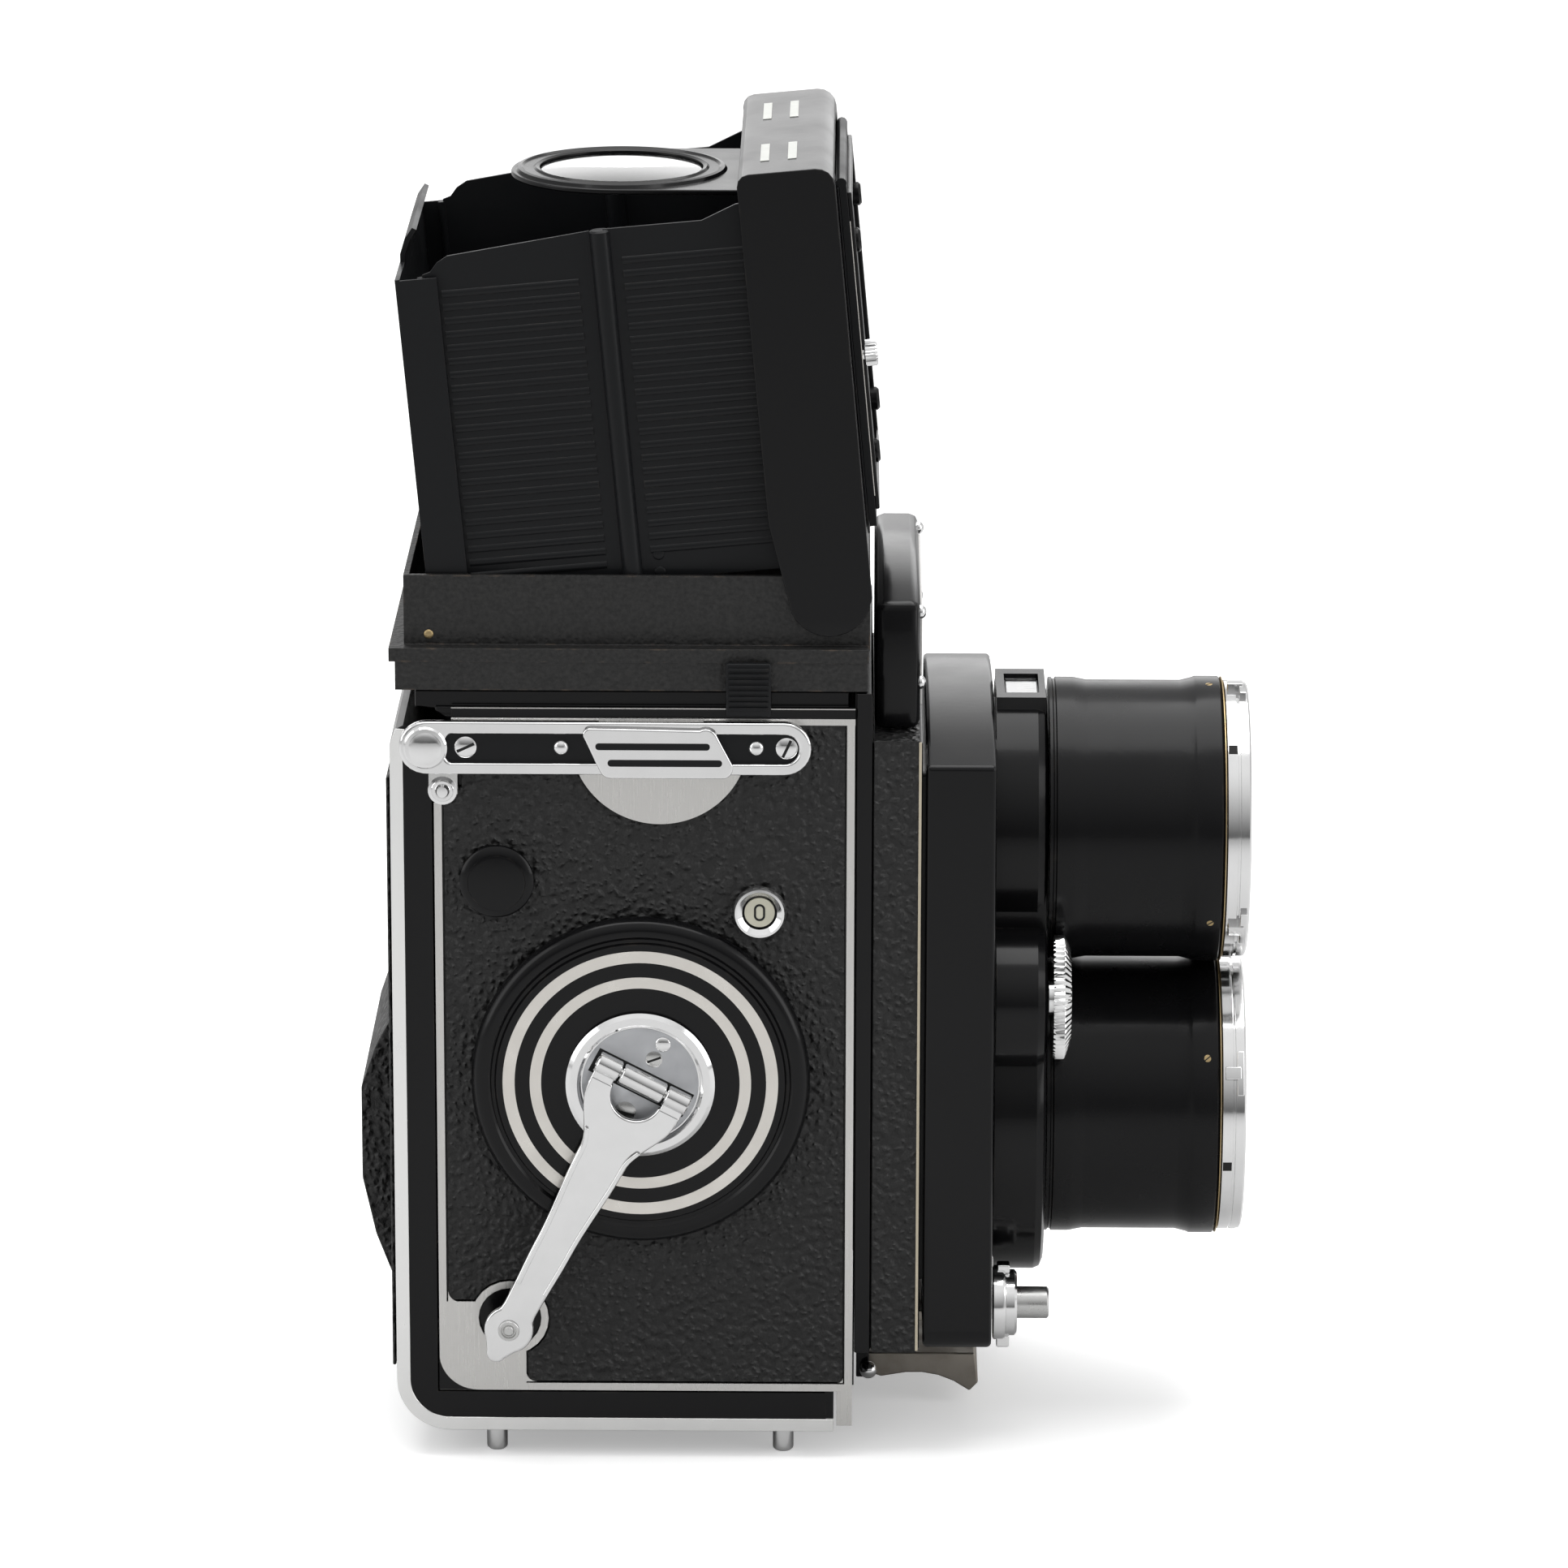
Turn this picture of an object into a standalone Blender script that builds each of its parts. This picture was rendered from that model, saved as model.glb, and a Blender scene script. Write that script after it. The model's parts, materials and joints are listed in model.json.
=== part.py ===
"""Twin lens reflex camera with a long focal length lens pair and an open folding hood.

Every length below is in millimetres; the helpers turn it into metres.
Camera frame: X = 0 is the plane of the two lens axes, Y = 0 is the winding crank's axis,
Z = 0 is the plane that the feet stand on.  The lenses point to -Y and the crank is at -X.
The parent empty "camera" shifts that frame so that the whole box is centred on X and Y.
"""
import math

import bmesh
import bpy
from mathutils import Matrix, Vector

MM = 0.001
GAP = 0.3
ROUND = 40
SHARP_ANGLE = 35

# Whole camera
CENTRE_X = -2.75
CENTRE_Y = 27.2

# Body casting
BODY_X = 36.5
BODY_FRONT = -35.4
BODY_BACK = 33.6
BODY_LOW = 12.3
BODY_TOP = 130.8
SKIN_IN = 36.8
SKIN_OUT = 37.3
WALL = 2.0
SCREEN_FRAME_TOP = 133.4

# Optics
VIEW_Z = 102.0
TAKE_Z = 53.3
WAIST_Z = (VIEW_Z + TAKE_Z) / 2
TUBE_R = 24.2
TUBE_WAIST_R = 23.5
TUBE_REAR_R = 23.8
TUBE_BORE = 20.2
TUBE_LENGTH = 29.2
BAYONET_R = 23.9
BAYONET_BORE = 20.8
BAYONET_DEPTH = 4.1
LIGHT_HOLE = 15.0
MIRROR_Y = -4.0

# Winding crank, seen from its own side: the hinge barrel leans by this angle
CRANK_Z = 67.1
CRANK_LEAN = 27.5
DIAL_R = 28.2
HUB_R = 12.4
BARREL_UP = 5.3
BARREL_BACK = 0.9
BARREL_R = 1.8
ARM_LOW = 5.1
ARM_THICK = 1.4
KNOB_REACH = 47.7
ARM_TIP = KNOB_REACH + 4.9
SHAFT_BORE = 3.3

# Recess in the near corner plate where the folded crank's knob parks
PARK = (22.1, 24.75)
PARK_R = 6.5
PARK_HOLE_R = 5.25
CORNER_EDGE = 19.4
CORNER_TOP = 27.6

# Film spools
TAKE_UP = (23.7, 101.3)
SUPPLY = (-19.0, 26.5)
SPOOL_R = 12.4
SPOOL_HALF = 32.0

# Back door and its hinge
HINGE = (36.3, 124.2)
DOOR_BACK = 41.2
DOOR_LOW = 4.8
DOOR_CORNER = 9.0
DOOR_WALL = 2.2
DOOR_BAND = 34.3
DOOR_LIP = 11.6

# Fixed front frame and moving front
FRAME_FRONT = -46.6
STRIP_BACK = -38.3
FRONT_LOW = 18.7
FRONT_SHOULDER = 121.1
FRONT_APEX = 124.5
STANDARD_BACK = -47.2
STANDARD_FRONT = -58.8
PANEL_BACK = -59.1
PANEL_FRONT = -67.8
UPPER_LOBE = 23.6
LOWER_LOBE = 30.5
WHEEL_X = 24.6
WHEEL_R = 10.4
BOSS_R = 11.5
RELEASE = (-26.0, 24.0)
LATCH_PIVOT = (-38.2, 7.4)
LATCH_WIDTH = 22

# Folding hood: u runs up along the lid, v backwards, from the lid's pivot
PIVOT_Y = -31.1
PIVOT_Z = 149.6
LEAN = 5.3
LID_X = 36.0
LID_WALL = 1.2
LID_TOP = 71.0
LID_FRONT = -6.97
LID_BACK = 8.87
LOBE_R = 6.85
FOLD_X = 31.8
FOLD_FRONT = 1.8
FOLD_HALF = 29.85
LEAF_TOP = 63.4
LEAF_LOW = 4.5
LEAF = 0.6
LEAF_CLEARANCE = 1.9
LEAF_EDGE = 0.25
LEAF_STEP = 15.2
BACK_LOW = 3.2
BACK_TOP = 58.2
BACK_INNER = 3.4
BACK_OUTER = 4.2
BACK_OVERHANG = 1.45
FLANGE_IN = -2.6
TONGUE_WIDTH = 38
ROD_R = 0.65
FLAP_X = 27.0
FLAP_LOW = 9.0
FLAP_TOP = 66.5
MAGNIFIER_R = 18.4
MAGNIFIER_LOW = 212.75
MAGNIFIER_Y = 3.8
MAGNIFIER_PIVOT = (-3.0, 64.0)

# Focusing knob on the far side
FOCUS = (-6.0, 63.0)

BLACK_PAINT = ((0.012, 0.012, 0.013), 0.0, 0.32)
CRACKLE = ((0.02, 0.02, 0.021), 0.0, 0.6)
LEATHER = ((0.015, 0.015, 0.016), 0.0, 0.7)
CHROME = ((0.78, 0.78, 0.78), 1.0, 0.12)
SATIN = ((0.6, 0.6, 0.6), 1.0, 0.35)
BRASSY = ((0.33, 0.3, 0.25), 1.0, 0.4)
GLASS = ((0.75, 0.8, 0.85), 0.0, 0.03)
IVORY = ((0.8, 0.78, 0.66), 0.0, 0.4)

TOWARDS = {
    "left": Matrix.Rotation(math.radians(-90), 4, "Y"),
    "right": Matrix.Rotation(math.radians(90), 4, "Y"),
    "front": Matrix.Rotation(math.radians(90), 4, "X"),
    "back": Matrix.Rotation(math.radians(-90), 4, "X"),
    "up": Matrix.Identity(4),
    "down": Matrix.Rotation(math.radians(180), 4, "X"),
}
# A side outline is drawn in (Y, Z) and gets its thickness along X; a front outline is drawn in (X, Z).
SIDE = Matrix(((0, 0, 1, 0), (1, 0, 0, 0), (0, 1, 0, 0), (0, 0, 0, 1)))
FRONT = TOWARDS["front"]
# The same facing with a small twist, so that a bore's corners miss the edges of the disc it goes through.
OFF_FAN = FRONT @ Matrix.Rotation(math.radians(4), 4, "Z")


# ---------------------------------------------------------------- helpers

def clear_scene():
    for obj in list(bpy.data.objects):
        bpy.data.objects.remove(obj, do_unlink=True)


def new_collection(name):
    collection = bpy.data.collections.new(name)
    bpy.context.scene.collection.children.link(collection)
    return collection


def empty(name, at, parent=None, turn=None):
    marker = bpy.data.objects.new(name, None)
    PARTS.objects.link(marker)
    marker.parent = parent
    marker.matrix_basis = Matrix.Translation(Vector(at) * MM) @ (turn or Matrix.Identity(4))
    return marker


def add_object(name, mesh, at, turn, parent):
    obj = bpy.data.objects.new(name, mesh)
    PARTS.objects.link(obj)
    obj.parent = parent or CAMERA
    obj.matrix_basis = Matrix.Translation(Vector(at) * MM) @ turn
    return obj


def box(name, low, high, parent=None, bevel=0.0, turn=None):
    """An axis-aligned block between two corners, its origin at its centre."""
    low, high = Vector(low), Vector(high)
    mesh = bpy.data.meshes.new(name)
    bm = bmesh.new()
    bmesh.ops.create_cube(bm, size=1.0)
    bmesh.ops.scale(bm, vec=(high - low) * MM, verts=bm.verts)
    bm.to_mesh(mesh)
    bm.free()
    obj = add_object(name, mesh, (low + high) / 2, turn or Matrix.Identity(4), parent)
    if bevel:
        round_edges(obj, bevel)
    return obj


def round_edges(obj, width, segments=2):
    modifier = obj.modifiers.new("rounding", "BEVEL")
    modifier.width = width * MM
    modifier.segments = segments
    modifier.limit_method = "ANGLE"
    modifier.angle_limit = math.radians(40)


def solid_mesh(source):
    """Takes the mesh that a curve or a lathe makes, welds it, and shades its round faces smooth."""
    depsgraph = bpy.context.evaluated_depsgraph_get()
    mesh = bpy.data.meshes.new_from_object(source.evaluated_get(depsgraph))
    bpy.data.objects.remove(source, do_unlink=True)
    bm = bmesh.new()
    bm.from_mesh(mesh)
    bmesh.ops.remove_doubles(bm, verts=bm.verts, dist=0.000001)
    bmesh.ops.recalc_face_normals(bm, faces=bm.faces)
    bm.to_mesh(mesh)
    bm.free()
    mesh.shade_smooth()
    mesh.set_sharp_from_angle(angle=math.radians(SHARP_ANGLE))
    return mesh


def turned(name, profile, at, facing, parent=None, steps=ROUND, ring=False, turn=None):
    """A lathe shape: (radius, height) pairs that run down the outer side from the top."""
    half = bpy.data.meshes.new(name + "_profile")
    points = [(radius * MM, 0.0, height * MM) for radius, height in profile]
    edges = [(i, i + 1) for i in range(len(points) - 1)]
    if ring:
        edges.append((len(points) - 1, 0))
    half.from_pydata(points, edges, [])
    source = bpy.data.objects.new(name + "_profile", half)
    PARTS.objects.link(source)
    screw = source.modifiers.new("lathe", "SCREW")
    screw.axis = "Z"
    screw.angle = math.tau
    screw.steps = steps
    screw.render_steps = steps
    screw.use_merge_vertices = True
    screw.merge_threshold = 0.00001
    return add_object(name, solid_mesh(source), at, turn or TOWARDS[facing], parent)


def rod(name, radius, low, high, at, facing, parent=None, steps=16, turn=None):
    profile = [(0, high), (radius, high), (radius, low), (0, low)]
    return turned(name, profile, at, facing, parent, steps, turn=turn)


def slab(name, outline, thickness, at, plane, parent=None):
    """A flat outline given thickness on both sides of its own plane."""
    curve = bpy.data.curves.new(name + "_outline", "CURVE")
    curve.dimensions = "2D"
    curve.fill_mode = "BOTH"
    curve.extrude = thickness / 2 * MM
    spline = curve.splines.new("POLY")
    spline.points.add(len(outline) - 1)
    for point, (across, up) in zip(spline.points, outline):
        point.co = (across * MM, up * MM, 0, 1)
    spline.use_cyclic_u = True
    source = bpy.data.objects.new(name + "_outline", curve)
    PARTS.objects.link(source)
    return add_object(name, solid_mesh(source), at, plane, parent)


def arc(across, up, radius, start, end, steps=8):
    angles = [math.radians(start + (end - start) * i / steps) for i in range(steps + 1)]
    return [(across + radius * math.cos(a), up + radius * math.sin(a)) for a in angles]


def combine(target, tool, operation):
    PARTS.objects.unlink(tool)
    CUTTERS.objects.link(tool)
    tool.hide_render = True
    tool.display_type = "WIRE"
    modifier = target.modifiers.new(tool.name, "BOOLEAN")
    modifier.operation = operation
    modifier.solver = "EXACT"
    modifier.object = tool
    return target


def cut(target, *tools):
    for tool in tools:
        combine(target, tool, "DIFFERENCE")
    return target


def join(target, *tools):
    for tool in tools:
        combine(target, tool, "UNION")
    return target


def finish(obj, look):
    """Gives one part its own material."""
    colour, metallic, roughness = look
    material = bpy.data.materials.new(obj.name)
    material.use_nodes = True
    shader = material.node_tree.nodes["Principled BSDF"]
    shader.inputs["Base Color"].default_value = (*colour, 1.0)
    shader.inputs["Metallic"].default_value = metallic
    shader.inputs["Roughness"].default_value = roughness
    material.diffuse_color = (*colour, 1.0)
    obj.data.materials.clear()
    obj.data.materials.append(material)
    return obj


# ---------------------------------------------------------------- body

def body_casting():
    """Die-cast body: mirror box above, light tunnel behind the taking lens, two film chambers."""
    body = box("body_casting", (-BODY_X, BODY_FRONT, BODY_LOW), (BODY_X, BODY_BACK, BODY_TOP))
    join(body, box("screen_frame", (-35.8, -34.4, BODY_TOP - 0.5), (35.8, 37.0, SCREEN_FRAME_TOP)))
    inner_front = BODY_FRONT + WALL
    behind_mirror = 3.25
    low_y = 80 - VIEW_Z + MIRROR_Y + behind_mirror
    mirror_box = [(inner_front, 80), (low_y, 80), (24, 24 - low_y + 80), (24, 140), (-31, 140),
                  (-31, 128.8), (inner_front, 128.8)]
    tunnel = [(inner_front, 43), (-4, 41), (40, 24), (40, 80), (inner_front, 76)]
    cut(
        body,
        slab("mirror_cavity", mirror_box, 58, (0, 0, 0), SIDE),
        box("screen_pocket", (-31.3, -33.8, BODY_TOP), (31.3, 27.3, 140)),
        slab("light_tunnel", tunnel, 54, (0, 0, 0), SIDE),
        box("supply_chamber", (-33.5, inner_front, 0), (33.5, -4.5, 39.3)),
        rod("take_up_round", SPOOL_R + 0.8, -33.5, 33.5, (0, *TAKE_UP), "right", steps=20),
        box("take_up_mouth", (-33.5, TAKE_UP[0], 88.1), (33.5, 40, 114.5)),
        rod("hinge_relief", 6.4, -40, 40, (0, *HINGE), "right", steps=24),
        rod("view_port", 16, -5, 5, (0, BODY_FRONT, VIEW_Z), "front", steps=24),
        rod("take_port", 16, -5, 5, (0, BODY_FRONT, TAKE_Z), "front", steps=24),
        rod("crank_bore", SHAFT_BORE, 33.4, 40, (0, 0, CRANK_Z), "left"),
        rod("focus_bore", 3.3, 33.4, 40, (0, *FOCUS), "right"),
        rod("upper_bore", 2.3, 30, 40, (0, *TAKE_UP), "right"),
        rod("lower_bore", 2.3, 30, 40, (0, *SUPPLY), "right"),
    )
    return finish(body, BLACK_PAINT)


def side_skin_outline():
    return [(-33.8, 13.5), (32.4, 13.5), (32.4, 117.3), (29.4, 117.3), (29.4, 129.2), (-33.8, 129.2)]


def side_leathers():
    """Grained covering on each side, cut out round the trim and the shafts."""
    middle = (SKIN_IN + SKIN_OUT) / 2
    thickness = SKIN_OUT - SKIN_IN
    near = slab("side_leather_near", side_skin_outline(), thickness, (-middle, 0, 0), SIDE)
    cut(
        near,
        box("near_corner", (-40, CORNER_EDGE - GAP, 10), (-30, 40, CORNER_TOP + GAP)),
        rod("near_park", PARK_R + GAP, 30, 45, (0, *PARK), "left", steps=24),
        rod("near_crank", SHAFT_BORE, 30, 45, (0, 0, CRANK_Z), "left"),
    )
    far = slab("side_leather_far", side_skin_outline(), thickness, (middle, 0, 0), SIDE)
    cut(
        far,
        rod("far_focus", 3.3, 30, 45, (0, *FOCUS), "right"),
        rod("far_upper", 2.3, 30, 45, (0, *TAKE_UP), "right"),
        rod("far_lower", 2.3, 30, 45, (0, *SUPPLY), "right"),
    )
    finish(near, LEATHER)
    finish(far, LEATHER)


def side_trim(name, sign):
    """Bright frame round one side's covering, with a foot at the front edge."""
    inner, outer = sorted((sign * SKIN_IN, sign * (SKIN_OUT + 0.1)))
    frame = box(name, (inner, -35.4, 11.9), (outer, 34.0, 13.2))
    join(
        frame,
        box(name + "_front", (inner, -35.4, 5.8), (outer, -34.1, 130.6)),
        box(name + "_foot", (inner, -35.3, 5.8), (outer, -33.4, 12.5)),
        box(name + "_rear", (inner, 32.7, 12.0), (outer, 34.0, 117.0)),
        box(name + "_top", (inner, -35.3, 129.5), (outer, 29.4, 130.6)),
    )
    return frame


def side_trims():
    near = side_trim("side_trim_near", -1)
    inner, outer = -SKIN_OUT - 0.1, -SKIN_IN
    join(
        near,
        box("corner_plate", (inner, CORNER_EDGE, 12.0), (outer, 33.9, CORNER_TOP)),
        rod("corner_ring", PARK_R, SKIN_IN, SKIN_OUT + 0.1, (0, *PARK), "left", steps=24),
    )
    cut(near, rod("corner_hole", PARK_HOLE_R, 30, 45, (0, *PARK), "left", steps=24))
    finish(near, SATIN)
    finish(side_trim("side_trim_far", 1), SATIN)


def strap_bar(name, sign):
    """Neck strap rail: round-ended bar, raised bridge with two slots, half-round shield plate."""
    low, high, mid_z = -28.3, 39.6, 124.5
    shield = arc(-3.1, 123.9, 13.1, 180, 360, 12)
    base = 37.6
    half = 4.6
    ends = arc(low + half, mid_z, half, 90, 270) + arc(high - half, mid_z, half, -90, 90)
    bar = slab(name, ends, 3.0, (sign * (base + 1.5), 0, 0), SIDE)
    bridge = [(-15.8, 128.2), (-13.0, 120.6), (6.6, 120.6), (9.4, 128.2)]
    join(
        bar,
        slab(name + "_bridge", bridge, 4.2, (sign * (base + 2.1), 0, 0), SIDE),
        slab(name + "_shield", shield, 0.5, (sign * (base + 0.25), 0, 0), SIDE),
    )
    top = sign * (base + 5)
    floor = sign * (base + 1.6)
    for tag, start, end in (("_rear_window", 11.5, 31.5), ("_front_window", -25.5, -17.5)):
        x_low, x_high = sorted((top, floor))
        cut(bar, box(name + tag, (x_low, start, 122.0), (x_high, end, 127.0)))
    floor = sign * (base + 2.8)
    for tag, up in (("_upper_slot", 126.1), ("_lower_slot", 122.6)):
        x_low, x_high = sorted((top, floor))
        cut(bar, box(name + tag, (x_low, -11.5, up - 0.55), (x_high, 6.0, up + 0.55)))
    return finish(bar, CHROME)


def mirror():
    plate = box("mirror", (-28, -28.5, -2), (28, 28.5, 0))
    plate.matrix_basis = (Matrix.Translation(Vector((0, MIRROR_Y, VIEW_Z)) * MM)
                          @ Matrix.Rotation(math.radians(45), 4, "X")
                          @ Matrix.Translation(Vector((0, 0, -1)) * MM))
    return finish(plate, GLASS)


def ground_glass():
    return finish(box("ground_glass", (-31, -33.5, BODY_TOP + GAP), (31, 27, 132.6)), GLASS)


def meter_housing():
    """Light meter cover that stands between the hood and the front."""
    return finish(box("meter_housing", (-32, -46.1, 125.8), (32, -38.6, 147.7), bevel=1.6), BLACK_PAINT)


def front_frame():
    """Fixed frame on the body's front, with the tunnel that the moving front slides in."""
    frame = box("front_frame", (-36.3, FRAME_FRONT, 19.3), (36.3, -35.7, 124.9))
    join(frame, box("front_strip", (-37.1, STRIP_BACK, FRONT_LOW), (37.1, -35.7, SCREEN_FRAME_TOP)))
    join(
        frame,
        box("latch_ear_near", (-13.0, -38.3, 5.6), (-11.4, -36.1, 19.6)),
        box("latch_ear_far", (11.4, -38.3, 5.6), (13.0, -36.1, 19.6)),
    )
    cut(frame, box("front_opening", (-30, -60, 28.6), (30, -20, 118.4)))
    return finish(frame, BLACK_PAINT)


def front_leather():
    """Band of covering wrapped round the fixed front frame."""
    band = box("front_leather", (-37.1, -46.1, 18.8), (37.1, -38.6, 125.4))
    cut(band, box("front_leather_core", (-36.6, -60, 19.0), (36.6, -20, 125.2)))
    return finish(band, LEATHER)


# ---------------------------------------------------------------- crank side fittings

def crank_frame():
    """Hub frame: x along the hinge barrel, y towards the arm's tip, z out of the body."""
    lean = math.radians(CRANK_LEAN)
    turn = Matrix(((0, 0, -1, 0),
                   (math.cos(lean), math.sin(lean), 0, 0),
                   (math.sin(lean), -math.cos(lean), 0, 0),
                   (0, 0, 0, 1)))
    return empty("crank", (-SKIN_OUT, 0, CRANK_Z), CAMERA, turn)


def crank_dial():
    profile = [(SHAFT_BORE, 2.6), (27.2, 2.6), (DIAL_R, 1.6), (DIAL_R, GAP), (SHAFT_BORE, GAP)]
    dial = turned("crank_dial", profile, (-SKIN_OUT, 0, CRANK_Z), "left", steps=44, ring=True)
    return finish(dial, BLACK_PAINT)


def crank_hub(frame):
    """Bright hub disc with its shaft and the middle knuckle of the arm's hinge."""
    profile = [(0, 3.1), (10.5, 3.1), (10.7, 4.2), (12.0, 4.2), (HUB_R, 3.8), (HUB_R, 2.9), (3.0, 2.9),
               (3.0, -3.4), (0, -3.4)]
    hub = turned("crank_hub", profile, (0, 0, 0), "up", frame, steps=32)
    knuckle_at = (0, -BARREL_BACK, BARREL_UP)
    join(
        hub,
        rod("hub_knuckle", BARREL_R, -3.9, 3.9, knuckle_at, "right", frame),
        box("hub_rib", (-3.9, -BARREL_BACK - 1.2, 2.9), (3.9, -BARREL_BACK + 1.2, BARREL_UP), frame),
    )
    cut(hub, rod("hub_pin_bore", 1.1, -6, 6, knuckle_at, "right", frame, steps=12))
    return finish(hub, CHROME)


def crank_pin(frame):
    pin = rod("crank_pin", 0.8, -8.3, 8.3, (0, -BARREL_BACK, BARREL_UP), "right", frame, steps=12)
    return finish(pin, CHROME)


def arm_outline():
    half_widths = [(1.3, 8.4), (4.5, 8.3), (9.0, 7.2), (13.0, 4.9), (18.0, 3.5), (30.0, 3.0), (40.0, 3.2)]
    left = [(-half, along) for along, half in half_widths]
    head = arc(0, KNOB_REACH, 4.4, 220, 125, 5) + [(-1.5, ARM_TIP), (1.5, ARM_TIP)]
    head += arc(0, KNOB_REACH, 4.4, 55, -40, 5)
    right = [(half, along) for along, half in reversed(half_widths)]
    notch = arc(0, 1.3, 4.4, 0, 180, 6)
    return left + head + right + notch


def crank_arm(hinge):
    """Folding winding arm; its two outer knuckles turn on the hub's pin."""
    drop = Vector((0, BARREL_BACK, ARM_LOW - BARREL_UP + ARM_THICK / 2))
    arm = slab("crank_arm", arm_outline(), ARM_THICK, drop, Matrix.Identity(4), hinge)
    for tag, start, end in (("_left", -8.4, -4.3), ("_right", 4.3, 8.4)):
        join(
            arm,
            rod("arm_knuckle" + tag, BARREL_R, start, end, (0, 0, 0), "right", hinge),
            box("arm_web" + tag, (start, 0.4, -0.2), (end, 3.5, 1.2), hinge),
        )
    cut(arm, rod("arm_pin_bore", 1.1, -12, 12, (0, 0, 0), "right", hinge, steps=12))
    return finish(arm, CHROME)


def crank_knob(hinge):
    """Knurled finger knob under the arm's tip, turning on its rivet."""
    reach = KNOB_REACH + BARREL_BACK
    top = ARM_LOW - GAP - BARREL_UP
    profile = [(0, top), (3.5, top), (3.5, top - 2.4), (3.1, top - 2.7), (0, top - 2.7)]
    return finish(turned("crank_knob", profile, (0, reach, 0), "up", hinge, steps=24), BLACK_PAINT)


def counter():
    """Frame counter: conical bezel and the numbered disc that turns inside it."""
    at = (-SKIN_OUT, -19.75, 96.2)
    ring = [(3.6, 1.6), (4.3, 1.4), (4.5, 0.9), (4.5, GAP), (2.8, GAP), (2.8, 0.9)]
    finish(turned("counter_bezel", ring, at, "left", steps=24, ring=True), CHROME)
    finish(rod("counter_dial", 2.5, GAP, 0.8, at, "left", steps=24), IVORY)


def side_cap():
    profile = [(0, 1.9), (4.6, 1.8), (5.7, 1.4), (6.2, 0.8), (6.2, GAP), (0, GAP)]
    return finish(turned("side_cap", profile, (-SKIN_OUT, *TAKE_UP), "left", steps=24), BLACK_PAINT)


# ---------------------------------------------------------------- film transport

def spool(name, at, look):
    profile = [(0, SPOOL_HALF), (SPOOL_R, SPOOL_HALF), (SPOOL_R, SPOOL_HALF - 1.2),
               (5.6, SPOOL_HALF - 1.4), (5.6, 1.4 - SPOOL_HALF), (SPOOL_R, 1.2 - SPOOL_HALF),
               (SPOOL_R, -SPOOL_HALF), (0, -SPOOL_HALF)]
    return finish(turned(name, profile, (0, *at), "left", steps=20), look)


def spool_knob(name, at):
    """Pull-out spool retainer on the far side, with its spindle through the wall."""
    base = SKIN_OUT + GAP
    profile = [(0, 6.2), (6.2, 6.2), (6.8, 5.6), (6.8, 1.6), (5.2, 1.2), (5.2, 0), (2.0, 0),
               (2.0, -3.8), (0, -3.8)]
    return finish(turned(name, profile, (base, *at), "right", steps=20), CHROME)


def focus_knob():
    """Stepped focusing knob with its scale flange and shaft."""
    base = SKIN_OUT + GAP
    profile = [(0, 13.4), (15.4, 13.4), (16.6, 12.2), (16.6, 6.4), (23.5, 3.6), (23.5, 0), (3.0, 0),
               (3.0, -3.6), (0, -3.6)]
    return finish(turned("focus_knob", profile, (base, *FOCUS), "right", steps=36), BLACK_PAINT)


# ---------------------------------------------------------------- back door

def door_outline():
    corner = (32.2, DOOR_LOW + DOOR_CORNER)
    outer = [(-31.0, DOOR_LOW)] + arc(*corner, DOOR_CORNER, -90, 0, 8)
    top = [(DOOR_BACK, 124.5), (40.2, 127.3), (38.6, 127.3)] + arc(*HINGE, 2.0, 90, 180, 4)
    inner = [(DOOR_BAND, DOOR_LIP), (-31.0, DOOR_LIP)]
    return outer + top + inner


def door_hollow():
    corner = (32.2, DOOR_LOW + DOOR_CORNER)
    inside = DOOR_BACK - DOOR_WALL
    wall = arc(*corner, DOOR_CORNER - DOOR_WALL, -90, 0, 8)
    return [(-29.0, DOOR_LOW + DOOR_WALL)] + wall + [(inside, 130), (20, 130), (20, 13), (-29.0, 13)]


def back_door(hinge):
    """L-shaped door that closes the back and the bottom."""
    offset = (0, -HINGE[0], -HINGE[1])
    door = slab("back_door", door_outline(), 2 * SKIN_OUT, offset, SIDE, hinge)
    cut(
        door,
        slab("door_hollow", door_hollow(), 70.8, offset, SIDE, hinge),
        rod("hinge_pin_bore", 1.0, -40, 40, (0, 0, 0), "right", hinge, steps=12),
    )
    return finish(door, BLACK_PAINT)


def back_leather(hinge):
    """Covering of the door with the pillow over the pressure plate."""
    face = DOOR_BACK + GAP - HINGE[0]
    down = -HINGE[1]
    skin = box("back_leather", (-34, face, 15 + down), (34, face + 0.6, 118 + down), hinge)
    pillow = [(face + 0.2, 27 + down), (face + 3.6, 36 + down), (face + 5.8, 46 + down),
              (face + 5.8, 62 + down), (face + 3.4, 69 + down), (face + 0.2, 75 + down)]
    join(skin, slab("back_pillow", pillow, 54, (0, 0, 0), SIDE, hinge))
    return finish(skin, LEATHER)


def pressure_plate(hinge):
    down = -HINGE[1]
    low = 34.6 - HINGE[0]
    plate = box("pressure_plate", (-32, low, 21 + down), (32, low + 1.4, 87 + down), hinge)
    join(plate, rod("pressure_boss", 9, 1.0, 4.1, (0, low, 54 + down), "back", hinge, steps=24))
    return finish(plate, BLACK_PAINT)


def feet(hinge):
    profile = [(0, 4.5), (1.75, 4.5), (1.75, 0.4), (1.35, 0), (0, 0)]
    for side, x in (("near", -33.0), ("far", 33.0)):
        for end, y in (("rear", 24.6), ("front", -23.8)):
            at = (x, y - HINGE[0], -HINGE[1])
            finish(turned(f"foot_{end}_{side}", profile, at, "up", hinge, steps=20), CHROME)


def hinge_pins():
    for side, facing in (("near", "left"), ("far", "right")):
        pin = rod("door_pin_" + side, 0.7, 34.6, 37.2, (0, *HINGE), facing, steps=12)
        finish(pin, CHROME)


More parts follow.
